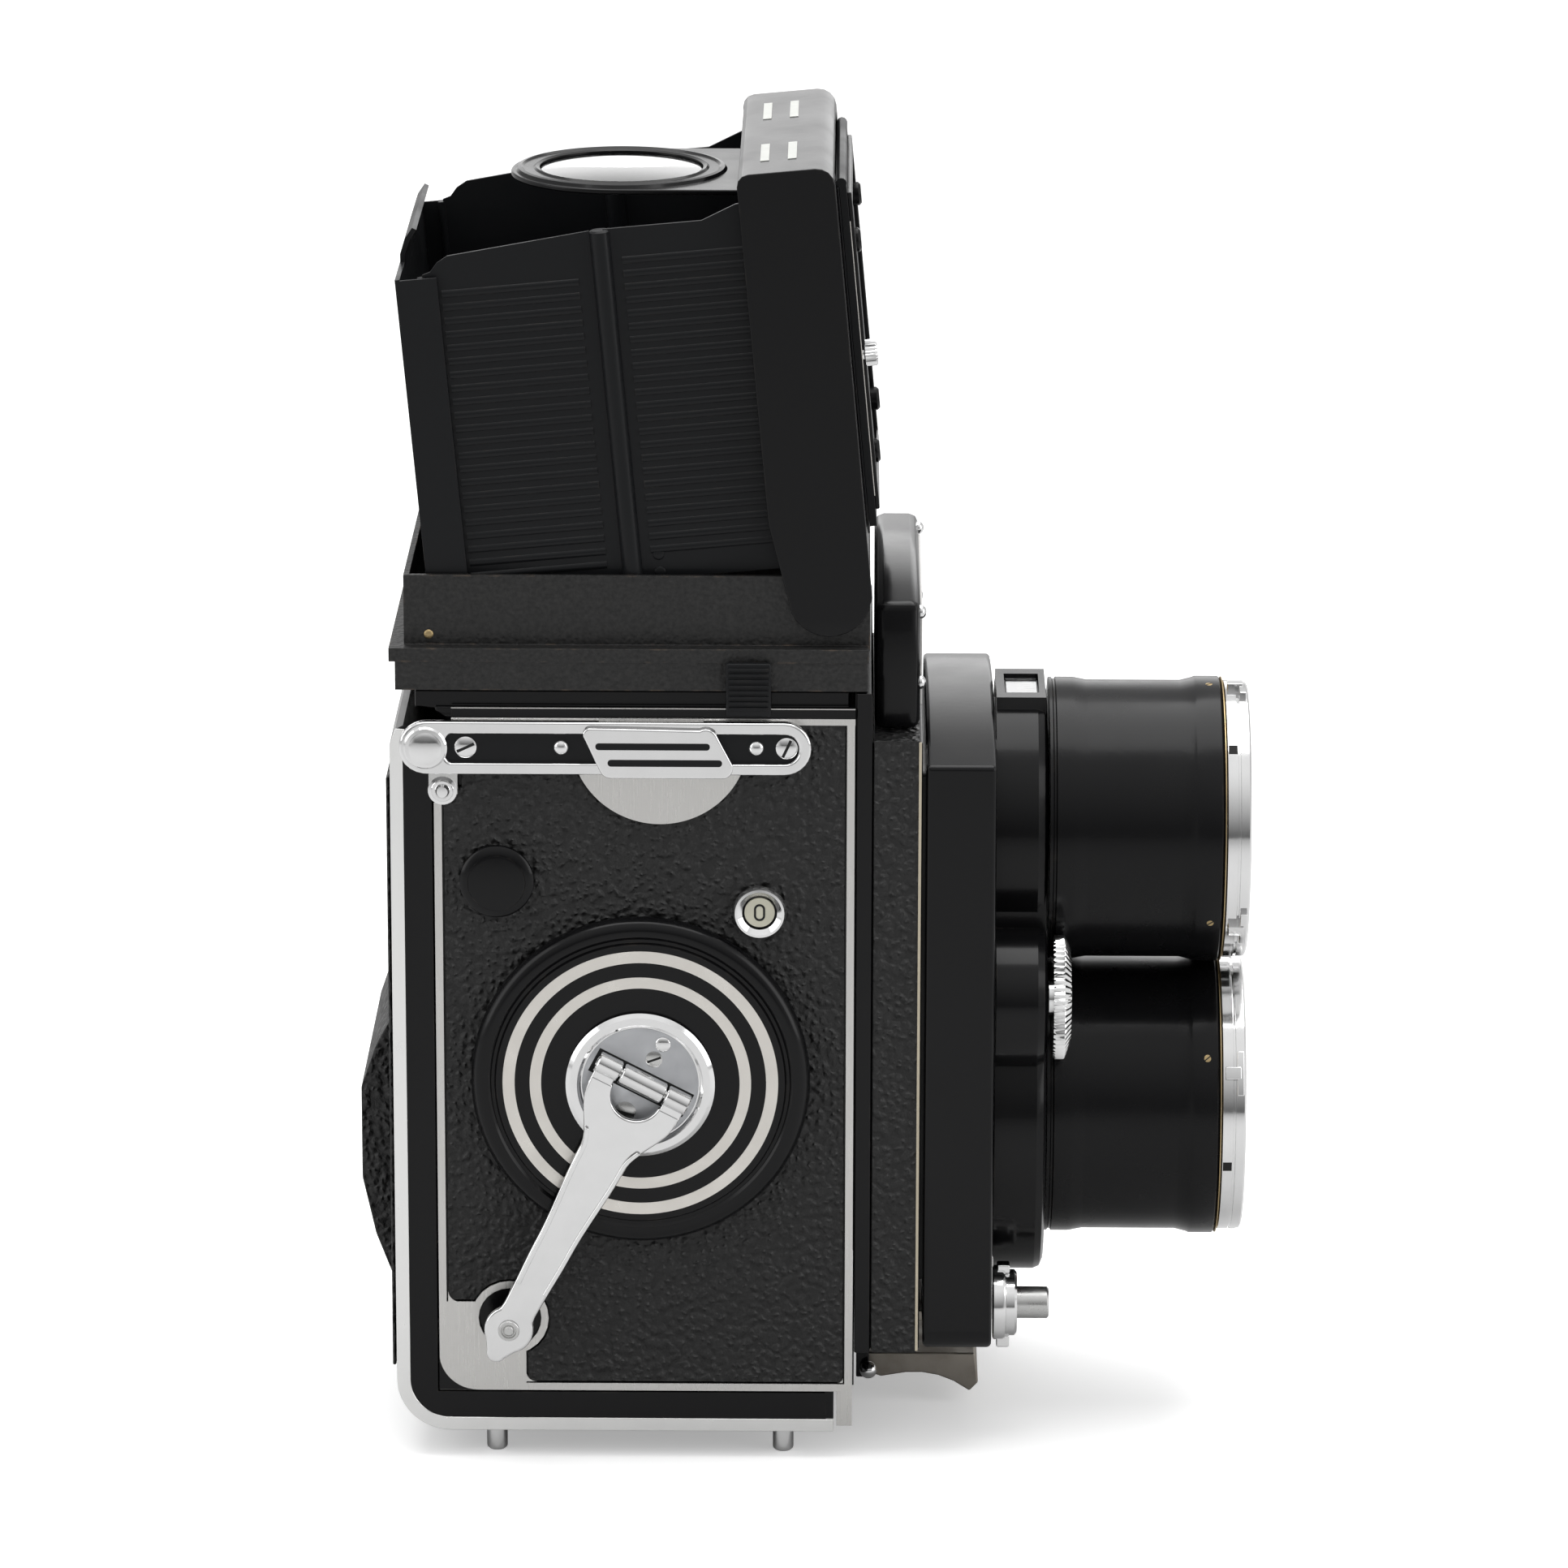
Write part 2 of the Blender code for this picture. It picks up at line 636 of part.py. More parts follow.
def latch_lever():
    """Lever under the front that locks the door; it swings on a pin across its rear end."""
    outline = arc(0, 0, 2.0, -30, 90, 4)
    outline += [(-18.3, 1.9), (-18.9, -3.4), (-17.4, -5.0)] + arc(-8.0, -16.2, 14.6, 128, 84, 4)
    outline.append((-2.2, -2.4))
    lever = slab("latch_lever", outline, LATCH_WIDTH, (0, *LATCH_PIVOT), SIDE)
    return finish(lever, BRASSY)


# ---------------------------------------------------------------- moving front

def standard_outline(inset=0.0):
    half = SKIN_OUT - inset
    low = FRONT_LOW + inset
    corner = 4.0 - inset
    rise = FRONT_APEX - FRONT_SHOULDER
    radius = (SKIN_OUT ** 2 + rise ** 2) / (2 * rise)
    centre = FRONT_APEX - radius
    sweep = math.degrees(math.asin(half / (radius - inset)))
    outline = arc(-half + corner, low + corner, corner, 180, 270, 3)
    outline += arc(half - corner, low + corner, corner, 270, 360, 3)
    return outline + arc(0, centre, radius - inset, 90 - sweep, 90 + sweep, 10)


def front_standard():
    """Lens carrier: a shallow tray whose sleeve slides in the fixed front frame."""
    depth = STANDARD_BACK - STANDARD_FRONT
    tray = slab("front_standard", standard_outline(), depth, (0, STANDARD_BACK - depth / 2, 0), FRONT)
    wall = 1.8
    hollow = slab("standard_hollow", standard_outline(wall), depth, (0, STANDARD_BACK - depth / 2 + wall, 0),
                  FRONT)
    cut(tray, hollow)
    sleeve = box("standard_sleeve", (-29.6, STANDARD_FRONT + 1, 29.0), (29.6, -36.6, 118.0))
    bore = box("standard_bore", (-28.2, STANDARD_FRONT + wall + 0.4, 30.4), (28.2, -30, 116.6))
    join(tray, sleeve)
    cut(
        tray,
        bore,
        rod("standard_view", LIGHT_HOLE - 1.5, -5, 5, (0, STANDARD_FRONT, VIEW_Z), "front", steps=24),
        rod("standard_take", LIGHT_HOLE - 1.5, -5, 5, (0, STANDARD_FRONT, TAKE_Z), "front", steps=24),
    )
    return finish(tray, BLACK_PAINT)


def cheese(name, radius, x, z, rounding=1.6, steps=40, lower=0.0):
    """A round-edged disc as deep as the lens panel, less a small step at its front."""
    deep = PANEL_BACK - PANEL_FRONT - lower
    profile = [(0, deep), (radius - rounding, deep), (radius - 0.3 * rounding, deep - 0.3 * rounding),
               (radius, deep - rounding), (radius, 0), (0, 0)]
    return turned(name, profile, (x, PANEL_BACK, z), "front", steps=steps)


def lens_panel():
    """Front panel in the shape of an eight, with ears behind the two setting wheels."""
    panel = cheese("lens_panel", LOWER_LOBE, 0, TAKE_Z)
    join(
        panel,
        cheese("upper_lobe", UPPER_LOBE, 0, VIEW_Z, lower=0.06),
        cheese("near_ear", BOSS_R, -WHEEL_X, WAIST_Z, steps=20, lower=0.12),
        cheese("far_ear", BOSS_R, WHEEL_X, WAIST_Z, steps=20, lower=0.12),
        box("panel_waist", (-21.1, PANEL_FRONT + 0.2, 60.1), (21.1, PANEL_BACK - 0.05, 96.1)),
        box("window_block", (-9.5, PANEL_FRONT + 0.3, 117), (9.5, PANEL_BACK - 0.1, 125.6)),
    )
    cut(
        panel,
        rod("panel_view", LIGHT_HOLE, -12, 12, (0, PANEL_FRONT, VIEW_Z), "front", steps=24, turn=OFF_FAN),
        rod("panel_take", LIGHT_HOLE, -12, 12, (0, PANEL_FRONT, TAKE_Z), "front", steps=24, turn=OFF_FAN),
        box("window_recess", (-6.2, -66.4, 124.4), (6.2, -60.6, 128)),
    )
    return finish(panel, BLACK_PAINT)


def lens_tube(name, z):
    top = TUBE_LENGTH
    profile = [(TUBE_R, top), (TUBE_R, top - 4.1), (TUBE_WAIST_R, top - 5.2), (TUBE_WAIST_R, 6.2),
               (TUBE_REAR_R, 4.8), (TUBE_REAR_R, 0), (LIGHT_HOLE, 0), (LIGHT_HOLE, 3.0),
               (TUBE_BORE, 3.0), (TUBE_BORE, top)]
    at = (0, PANEL_FRONT - GAP, z)
    return finish(turned(name, profile, at, "front", steps=44, ring=True), BLACK_PAINT)


def bayonet(name, z, first_lug):
    """Filter bayonet: a bright ring with three outer lugs."""
    base = PANEL_FRONT - TUBE_LENGTH - 2 * GAP
    depth = BAYONET_DEPTH
    profile = [(BAYONET_R - 0.5, depth), (BAYONET_R, depth - 0.5), (BAYONET_R, 0), (BAYONET_BORE, 0),
               (BAYONET_BORE, depth)]
    ring = turned(name, profile, (0, base, z), "front", steps=44, ring=True)
    for index in range(3):
        angle = math.radians(first_lug + 120 * index)
        turn = Matrix.Rotation(-angle, 4, "Y")
        lug = box(f"{name}_lug_{index}", (-1.5, -0.9, -3.0), (1.5, 0.9, 3.0), turn=turn)
        reach = BAYONET_R - 0.5
        spot = Vector((reach * math.cos(angle), base - 2.6, z + reach * math.sin(angle)))
        lug.matrix_basis = Matrix.Translation(spot * MM) @ turn
        join(ring, lug)
    return finish(ring, CHROME)


def lens_glass(name, z):
    """Domed front element seated in the tube's bore."""
    edge, dome, radius = 22.0, 3.4, TUBE_BORE - GAP
    ball = (radius ** 2 + dome ** 2) / (2 * dome)
    sweep = math.asin(radius / ball)
    steps = 4
    front = [(ball * math.sin(sweep * i / steps), edge + dome - ball + ball * math.cos(sweep * i / steps))
             for i in range(steps + 1)]
    profile = front + [(radius, edge - 2.5), (0, edge - 3.5)]
    return finish(turned(name, profile, (0, PANEL_FRONT - GAP, z), "front", steps=32), GLASS)


def setting_wheel(name, x):
    """Conical thumb wheel on a short hub."""
    profile = [(0, 4.4), (WHEEL_R - 1.0, 4.4), (WHEEL_R, 1.2), (WHEEL_R - 0.4, 0.9), (3.0, 0.9),
               (3.0, GAP), (0, GAP)]
    return finish(turned(name, profile, (x, PANEL_FRONT, WAIST_Z), "front", steps=32), CHROME)


def release():
    """Shutter release button inside its turning lock collar."""
    at = (RELEASE[0], STANDARD_FRONT, RELEASE[1])
    ring = [(5.6, 4.4), (6.1, 3.9), (6.1, GAP), (3.0, GAP), (3.0, 4.4)]
    collar = turned("release_collar", ring, at, "front", steps=20, ring=True)
    tab_low = (RELEASE[0] - 1.2, STANDARD_FRONT - 3.4, RELEASE[1] - 7.4)
    tab_high = (RELEASE[0] + 1.2, STANDARD_FRONT - 1.0, RELEASE[1] - 5.0)
    join(collar, box("release_tab", tab_low, tab_high))
    finish(collar, CHROME)
    profile = [(0, 9.8), (2.3, 9.8), (2.7, 9.3), (2.7, 3.2), (0, 3.2)]
    finish(turned("release_button", profile, at, "front", steps=20), CHROME)


def flash_socket():
    at = (-RELEASE[0], STANDARD_FRONT, RELEASE[1])
    ring = [(4.2, 2.8), (4.6, 2.4), (4.6, GAP), (1.6, GAP), (1.6, 2.8)]
    return finish(turned("flash_socket", ring, at, "front", steps=24, ring=True), CHROME)


# ---------------------------------------------------------------- hood

def hood_base():
    """Crackle-painted base: wide foot with a lip and a narrower collar above it."""
    base = box("hood_base", (-36.9, -37.4, 133.7), (36.9, 40.2, 140.9))
    join(
        base,
        box("hood_lip", (-37.3, -37.6, 138.6), (37.3, 41.2, 140.9)),
        box("hood_collar", (-34.6, -37.8, 140.0), (34.6, 38.8, 152.6)),
    )
    cut(
        base,
        box("hood_well", (-31, -34, 130), (31, 36, 145)),
        box("hood_throat", (-33.6, -36.8, 141.8), (33.6, 37.8, 160)),
    )
    return finish(base, CRACKLE)


def hood_release(name, sign):
    low, high = sorted((sign * 37.6, sign * 38.9))
    return finish(box(name, (low, -21.6, 129.9), (high, -14.2, 138.9), bevel=0.3), BLACK_PAINT)


def lid(frame):
    """Front lid of the hood: a tray open to the back, with round ears beside the collar."""
    outline = arc(0, 0, LOBE_R, -150, -20, 10) + [(LID_BACK, 13.0)]
    outline += arc(LID_BACK - 2, LID_TOP - 2, 2.0, 0, 90, 3)
    outline += arc(LID_FRONT + 3, LID_TOP - 3, 3.0, 90, 180, 4) + [(LID_FRONT, -1.0)]
    shell = slab("hood_lid", outline, 2 * LID_X, (0, 0, 0), SIDE, frame)
    round_edges(shell, 1.0, 2)
    inner = LID_X - LID_WALL
    cut(
        shell,
        box("lid_hollow", (-inner, LID_FRONT + LID_WALL, -20), (inner, 20, LID_TOP - LID_WALL), frame),
        box("lid_chin", (-inner, -20, -20), (inner, 20, 4.5), frame),
        box("lid_window", (-FLAP_X - GAP, -20, FLAP_LOW - GAP), (FLAP_X + GAP, 0, 68.3), frame),
    )
    return finish(shell, BLACK_PAINT)


def finder_flap(hinge):
    """Sports finder flap in the lid's window, hung from its top edge."""
    flap = box("finder_flap", (-FLAP_X, -1.2, FLAP_LOW - FLAP_TOP), (FLAP_X, 0, 0), hinge)
    join(flap, rod("flap_roll", 0.9, -FLAP_X, FLAP_X, (0, -0.4, 0), "right", hinge, steps=12))
    return finish(flap, BLACK_PAINT)


def leaf(name, sign, start, outline, rods, hinge):
    """One half of a side wall, drawn in (v, u) from its own hinge line."""
    panel = slab(name, outline, LEAF, (0, -start, 0), SIDE, hinge)
    for index, (along, low, high) in enumerate(rods):
        at = (0, along - start, 0)
        join(panel, rod(f"{name}_rod_{index}", ROD_R, low, high, at, "up", hinge, steps=12))
    return finish(panel, BLACK_PAINT)


def side_walls(frame, side, sign):
    """Front and rear halves of one side wall and the empties on their hinge lines."""
    middle = FOLD_FRONT + FOLD_HALF
    rear = FOLD_FRONT + 2 * FOLD_HALF
    front_hinge = empty(f"{side}_front_hinge", (sign * FOLD_X, FOLD_FRONT, 0), frame)
    middle_hinge = empty(f"{side}_middle_hinge", (0, FOLD_HALF, 0), front_hinge)
    edge = LEAF_EDGE
    rod_low = LEAF_LOW + 0.2
    # the top is low behind LEAF_STEP, so that the folding leaf passes under the open magnifier
    front = [(FOLD_FRONT + edge, LEAF_LOW), (middle - GAP, LEAF_LOW), (middle - GAP, LEAF_TOP),
             (LEAF_STEP, LEAF_TOP), (9.5, 65.6), (FOLD_FRONT + edge, 66.4)]
    rods = [(FOLD_FRONT, rod_low, 66.0), (middle, rod_low, LEAF_TOP - 0.3)]
    leaf(f"wall_{side}_front", sign, FOLD_FRONT, front, rods, front_hinge)
    start = middle + LEAF_CLEARANCE
    back = [(start, LEAF_LOW), (rear - edge, LEAF_LOW), (rear - edge, 58.4), (rear - 1.6, 58.8)]
    back += [(rear - 2.8, 60.2), (rear - 4.6, 61.2), (start, 63.3)]
    leaf(f"wall_{side}_rear", sign, middle, back, [(rear, rod_low, 58.0)], middle_hinge)
    return empty(f"{side}_rear_hinge", (0, FOLD_HALF, 0), middle_hinge)


def rear_wall(hinge):
    """Back of the hood: a shallow channel with a curved tongue, riding on the near wall."""
    shift = FOLD_X
    outer = FOLD_X + BACK_OVERHANG
    wall = box("wall_back", (shift - outer, BACK_INNER, BACK_LOW), (shift + outer, BACK_OUTER, BACK_TOP),
               hinge)
    for tag, x in (("_near", shift - outer), ("_far", shift + outer - LEAF)):
        flange = box("wall_back" + tag, (x, FLANGE_IN, BACK_LOW), (x + LEAF, BACK_INNER + LEAF - 0.2,
                     BACK_TOP - 0.2), hinge)
        join(wall, flange)
    tongue = [(3.4, 57.0), (4.2, 57.0), (4.0, 59.6), (2.9, 62.2), (1.6, 63.8), (0.9, 63.4), (2.2, 61.6),
              (3.2, 59.4)]
    join(wall, slab("wall_back_tongue", tongue, TONGUE_WIDTH, (shift, 0, 0), SIDE, hinge))
    return finish(wall, BLACK_PAINT)


def magnifier(hinge):
    """Folding focusing magnifier, level while it is open."""
    low = MAGNIFIER_LOW - MAGNIFIER_WORLD.z
    reach = MAGNIFIER_Y - MAGNIFIER_WORLD.y
    outline = [(-MAGNIFIER_R, 2.0), (MAGNIFIER_R, 2.0)] + arc(0, reach, MAGNIFIER_R, 0, 180, 18)
    frame = slab("magnifier_frame", outline, 1.0, (0, 0, low + 0.5), Matrix.Identity(4), hinge)
    rim = [(16.6, low + 1.5), (17.2, low + 0.8), (14.2, low + 0.8), (14.2, low + 1.5)]
    join(
        frame,
        turned("magnifier_rim", rim, (0, reach, 0), "up", hinge, steps=32, ring=True),
        rod("magnifier_hinge", 1.0, -15, 15, (0, 0, 0), "right", hinge, steps=12),
        box("magnifier_root", (-15, 0, low + 0.2), (15, 3.0, 0.4), hinge),
    )
    cut(frame, rod("magnifier_hole", 13.6, -5, 5, (0, reach, 0), "up", hinge, steps=32))
    finish(frame, BLACK_PAINT)
    lens = [(0, low + 1.4), (8.0, low + 1.2), (13.3, low + 0.7), (13.3, low + 0.3), (0, low + 0.1)]
    finish(turned("magnifier_lens", lens, (0, reach, 0), "up", hinge, steps=32), GLASS)


def hood():
    lean = Matrix.Rotation(math.radians(-LEAN), 4, "X")
    frame = empty("lid_frame", (0, PIVOT_Y, PIVOT_Z), CAMERA, lean)
    hood_base()
    hood_release("hood_release_near", -1)
    hood_release("hood_release_far", 1)
    lid(frame)
    finder_flap(empty("flap_hinge", (0, -7.4, FLAP_TOP), frame))
    rear_wall(side_walls(frame, "near", -1))
    side_walls(frame, "far", 1)
    magnifier(empty("magnifier_pivot", MAGNIFIER_WORLD, CAMERA))


def lid_point(v, u):
    """Camera coordinates of a point that is given in the lid's own frame."""
    lean = math.radians(LEAN)
    return Vector((0, PIVOT_Y + v * math.cos(lean) + u * math.sin(lean),
                   PIVOT_Z + u * math.cos(lean) - v * math.sin(lean)))


# ---------------------------------------------------------------- assembly

clear_scene()
PARTS = new_collection("twin_lens_reflex_camera")
CUTTERS = new_collection("cutters")
CAMERA = empty("camera", (CENTRE_X, CENTRE_Y, 0))
MAGNIFIER_WORLD = lid_point(*MAGNIFIER_PIVOT)


def body_group():
    body_casting()
    side_leathers()
    side_trims()
    strap_bar("strap_bar_near", -1)
    strap_bar("strap_bar_far", 1)
    mirror()
    ground_glass()
    meter_housing()
    front_frame()
    front_leather()


def crank_group():
    frame = crank_frame()
    crank_dial()
    crank_hub(frame)
    crank_pin(frame)
    hinge = empty("arm_hinge", (0, -BARREL_BACK, BARREL_UP), frame)
    crank_arm(hinge)
    crank_knob(hinge)


def transport_group():
    counter()
    side_cap()
    spool("take_up_spool", TAKE_UP, BLACK_PAINT)
    spool("supply_spool", SUPPLY, SATIN)
    spool_knob("spool_knob_upper", TAKE_UP)
    spool_knob("spool_knob_lower", SUPPLY)
    focus_knob()


def door_group():
    hinge = empty("door_hinge", (0, *HINGE), CAMERA)
    back_door(hinge)
    back_leather(hinge)
    pressure_plate(hinge)
    feet(hinge)
    hinge_pins()
    latch_lever()


def front_group():
    front_standard()
    lens_panel()
    for name, z, lug in (("viewing", VIEW_Z, 90), ("taking", TAKE_Z, 30)):
        lens_tube(name + "_tube", z)
        bayonet(name + "_bayonet", z, lug)
        lens_glass(name + "_lens", z)
    setting_wheel("shutter_speed_wheel", -WHEEL_X)
    setting_wheel("aperture_wheel", WHEEL_X)
    release()
    flash_socket()


body_group()
crank_group()
transport_group()
door_group()
front_group()
hood()
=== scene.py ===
"""Looks for the twin lens reflex camera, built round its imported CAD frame.

Lengths in the makers below are millimetres in the camera's own axes: X = 0 between the two sides,
Y = 0 on the winding crank's axis, Z = 0 under the feet.  The lenses point to -Y.
"""
import json
import math

import bmesh
import bpy
from mathutils import Matrix, Vector


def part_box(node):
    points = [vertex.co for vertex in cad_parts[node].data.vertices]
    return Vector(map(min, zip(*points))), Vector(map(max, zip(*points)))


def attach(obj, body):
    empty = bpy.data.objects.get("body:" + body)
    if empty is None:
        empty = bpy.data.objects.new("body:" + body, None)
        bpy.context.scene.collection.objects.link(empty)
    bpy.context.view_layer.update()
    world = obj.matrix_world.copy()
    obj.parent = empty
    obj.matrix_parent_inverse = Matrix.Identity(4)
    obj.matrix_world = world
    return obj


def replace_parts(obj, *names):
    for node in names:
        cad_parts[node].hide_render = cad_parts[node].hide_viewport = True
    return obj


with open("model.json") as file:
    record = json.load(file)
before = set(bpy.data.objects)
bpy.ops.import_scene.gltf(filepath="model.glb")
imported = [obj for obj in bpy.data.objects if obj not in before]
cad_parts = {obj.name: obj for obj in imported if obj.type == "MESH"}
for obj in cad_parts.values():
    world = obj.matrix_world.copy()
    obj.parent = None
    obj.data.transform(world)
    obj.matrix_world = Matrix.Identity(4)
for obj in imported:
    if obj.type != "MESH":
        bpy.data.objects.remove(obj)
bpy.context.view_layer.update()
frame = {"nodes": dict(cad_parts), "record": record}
NODES = frame["nodes"]
NODE_BODY = {n: b for b, ns in frame["record"]["behaviour"]["bodies"].items() for n in ns}
NODE_SLOT = {s["node"]: s["material_slot"] for s in frame["record"]["subparts"]}

DIAL_LOW, DIAL_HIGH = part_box("crank_dial")
FRAME_LOW, FRAME_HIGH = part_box("front_frame")
SHIFT = Vector(((FRAME_LOW.x + FRAME_HIGH.x) / 2, (DIAL_LOW.y + DIAL_HIGH.y) / 2, 0))
MM = 0.001

LEAN = math.radians(5.3)
HOOD_PIVOT = (0, -31.1, 149.6)
CRANK_LEAN = math.radians(27.5)
CRANK_Z = 67.1
KNOB_REACH = 47.7
SIDE_X = 37.3
KNOB_X = 37.6
STANDARD_Y = -58.8
WHEEL_Y = -67.8
TUBE_Y = -68.1
BAYONET_Y = -97.6
METER_Y = -46.1
VIEWING_Z = 102.0
TAKING_Z = 53.3
WHEEL_X, WHEEL_Z = 24.6, 77.65
TAKE_UP = (23.7, 101.3)
SUPPLY = (-19.0, 26.5)
STRAP_Z = 124.5
LEAF_X = 32.1


def axes(x, y, z, origin):
    return Matrix.Translation(Vector(origin)) @ Matrix((x, y, z)).transposed().to_4x4()


def near(y, z, x=SIDE_X):
    """On the crank side: x points to the lenses, y up, z out of the side."""
    return axes((0, -1, 0), (0, 0, 1), (-1, 0, 0), (-x, y, z))


def far(y, z, x=SIDE_X):
    """On the focus knob's side: x points to the back, y up, z out of the side."""
    return axes((0, 1, 0), (0, 0, 1), (1, 0, 0), (x, y, z))


def ahead(x, z, y):
    """On the front: x points to the focus knob's side, y up, z forward."""
    return axes((1, 0, 0), (0, 0, 1), (0, -1, 0), (x, y, z))


WORLD = Matrix.Identity(4)
# The open lid: y runs back through the hood, z up along the lid.
LID = axes((1, 0, 0), (0, math.cos(LEAN), -math.sin(LEAN)), (0, math.sin(LEAN), math.cos(LEAN)), HOOD_PIVOT)
# The folded crank: y runs along the arm to the finger knob, z out of the side.
CRANK = axes((0, math.cos(CRANK_LEAN), math.sin(CRANK_LEAN)),
             (0, math.sin(CRANK_LEAN), -math.cos(CRANK_LEAN)), (-1, 0, 0), (-SIDE_X, 0, CRANK_Z))
CRANK_HINGE = CRANK @ Matrix.Translation((0, -0.9, 5.3))


# ------------------------------------------------------------------ materials

def new_material(name):
    mat = bpy.data.materials.new(name)
    mat.use_nodes = True
    tree = mat.node_tree
    return mat, tree, tree.nodes["Principled BSDF"]


def node(tree, kind, inputs=None, **settings):
    made = tree.nodes.new(kind)
    for key, value in settings.items():
        setattr(made, key, value)
    for key, value in (inputs or {}).items():
        made.inputs[key].default_value = value
    return made


def coords(tree, stretch=(1, 1, 1)):
    source = node(tree, "ShaderNodeTexCoord")
    mapping = node(tree, "ShaderNodeMapping")
    mapping.inputs["Scale"].default_value = stretch
    tree.links.new(source.outputs["Object"], mapping.inputs["Vector"])
    return mapping.outputs["Vector"]


def ramp(tree, value, low, high, out_low, out_high):
    limits = {"From Min": low, "From Max": high, "To Min": out_low, "To Max": out_high}
    made = node(tree, "ShaderNodeMapRange", limits)
    tree.links.new(value, made.inputs["Value"])
    return made.outputs["Result"]


def noise(tree, vector, scale, detail=3.0, rough=0.55):
    made = node(tree, "ShaderNodeTexNoise", {"Scale": scale, "Detail": detail, "Roughness": rough})
    tree.links.new(vector, made.inputs["Vector"])
    return made.outputs["Fac"]


def mix_colour(tree, factor, low, high):
    made = node(tree, "ShaderNodeMix", data_type="RGBA")
    tree.links.new(factor, made.inputs["Factor"])
    made.inputs["A"].default_value = (*low, 1)
    made.inputs["B"].default_value = (*high, 1)
    return made


def bump(tree, shader, height, distance, strength=1.0, base=None):
    """Bump for the shader; base is the normal of an earlier bump under it."""
    made = node(tree, "ShaderNodeBump", {"Strength": strength, "Distance": distance})
    tree.links.new(height, made.inputs["Height"])
    if base:
        tree.links.new(base, made.inputs["Normal"])
    tree.links.new(made.outputs["Normal"], shader.inputs["Normal"])
    return made.outputs["Normal"]


def wear(tree, width=0.00035, scale=260, amount=0.5):
    """Worn paint close to an edge, where a patchy noise lets it show."""
    geometry = node(tree, "ShaderNodeNewGeometry")
    rounded = node(tree, "ShaderNodeBevel", {"Radius": width}, samples=4)
    facing = node(tree, "ShaderNodeVectorMath", operation="DOT_PRODUCT")
    tree.links.new(rounded.outputs["Normal"], facing.inputs[0])
    tree.links.new(geometry.outputs["Normal"], facing.inputs[1])
    edge = ramp(tree, facing.outputs["Value"], 0.985, 0.88, 0, 1)
    patch = ramp(tree, noise(tree, coords(tree), scale, 4), 0.52, 0.68, 0, amount)
    both = node(tree, "ShaderNodeMath", operation="MULTIPLY")
    tree.links.new(edge, both.inputs[0])
    tree.links.new(patch, both.inputs[1])
    return both.outputs[0]


def paint(name, colour=(0.004, 0.004, 0.0045), rough=0.2, peel=0.00002, coat=0.12, amount=0.35):
    """Black paint, a little uneven, worn to brown metal at its edges."""
    mat, tree, shader = new_material(name)
    mixed = mix_colour(tree, wear(tree, amount=amount), colour, (0.09, 0.075, 0.06))
    tree.links.new(mixed.outputs["Result"], shader.inputs["Base Color"])
    smudge = ramp(tree, noise(tree, coords(tree), 60, 5), 0.3, 0.7, rough * 0.8, rough * 1.35)
    tree.links.new(smudge, shader.inputs["Roughness"])
    shader.inputs["Specular IOR Level"].default_value = 0.18
    shader.inputs["Coat Weight"].default_value = coat
    shader.inputs["Coat Roughness"].default_value = 0.08
    bump(tree, shader, noise(tree, coords(tree), 900, 2), peel, 0.5)
    return mat


def leather(name):
    """Pebbled covering: warped cells with fine grain over them, both as bump, and painted shade darkening the
    creases between the cells.
    """
    mat, tree, shader = new_material(name)
    place = coords(tree)
    warp = node(tree, "ShaderNodeTexNoise", {"Scale": 500.0, "Detail": 2.0})
    tree.links.new(place, warp.inputs["Vector"])
    shifted = node(tree, "ShaderNodeMix", {"Factor": 0.0012}, data_type="VECTOR")
    tree.links.new(place, shifted.inputs["A"])
    tree.links.new(warp.outputs["Color"], shifted.inputs["B"])
    cells = node(tree, "ShaderNodeTexVoronoi", {"Scale": 900.0}, feature="SMOOTH_F1")
    tree.links.new(shifted.outputs["Result"], cells.inputs["Vector"])
    pebble = ramp(tree, cells.outputs["Distance"], 0.08, 0.62, 1, 0)
    fine = noise(tree, place, 3800, 3)
    total = node(tree, "ShaderNodeMath", {2: 0.8}, operation="MULTIPLY_ADD")
    total.inputs[1].default_value = 0.22
    tree.links.new(fine, total.inputs[0])
    tree.links.new(pebble, total.inputs[2])
    # Colour is darker in the creases between pebbles and lighter on their tops: painted shade.
    mixed = mix_colour(tree, pebble, (0.0015, 0.0015, 0.0015), (0.0075, 0.0075, 0.0075))
    tree.links.new(mixed.outputs["Result"], shader.inputs["Base Color"])
    tree.links.new(ramp(tree, pebble, 0, 1, 0.55, 0.3), shader.inputs["Roughness"])
    bump(tree, shader, total.outputs[0], 0.00058, 1.0)
    return mat


def crackle(name):
    """Rough stoved finish, speckled grey, worn brown at its edges."""
    mat, tree, shader = new_material(name)
    grains = ramp(tree, noise(tree, coords(tree), 1400, 4), 0.35, 0.7, 0, 1)
    speckle = mix_colour(tree, grains, (0.004, 0.004, 0.004), (0.017, 0.0165, 0.016))
    mixed = mix_colour(tree, wear(tree, 0.0005, 300, 0.9), (0, 0, 0), (0.13, 0.09, 0.06))
    tree.links.new(speckle.outputs["Result"], mixed.inputs["A"])
    tree.links.new(mixed.outputs["Result"], shader.inputs["Base Color"])
    shader.inputs["Roughness"].default_value = 0.5
    cells = node(tree, "ShaderNodeTexVoronoi", {"Scale": 1500.0}, feature="SMOOTH_F1")
    tree.links.new(coords(tree), cells.inputs["Vector"])
    first = bump(tree, shader, cells.outputs["Distance"], 0.00018, 0.7)
    bump(tree, shader, noise(tree, coords(tree), 700, 4), 0.0002, 0.4, first)
    return mat


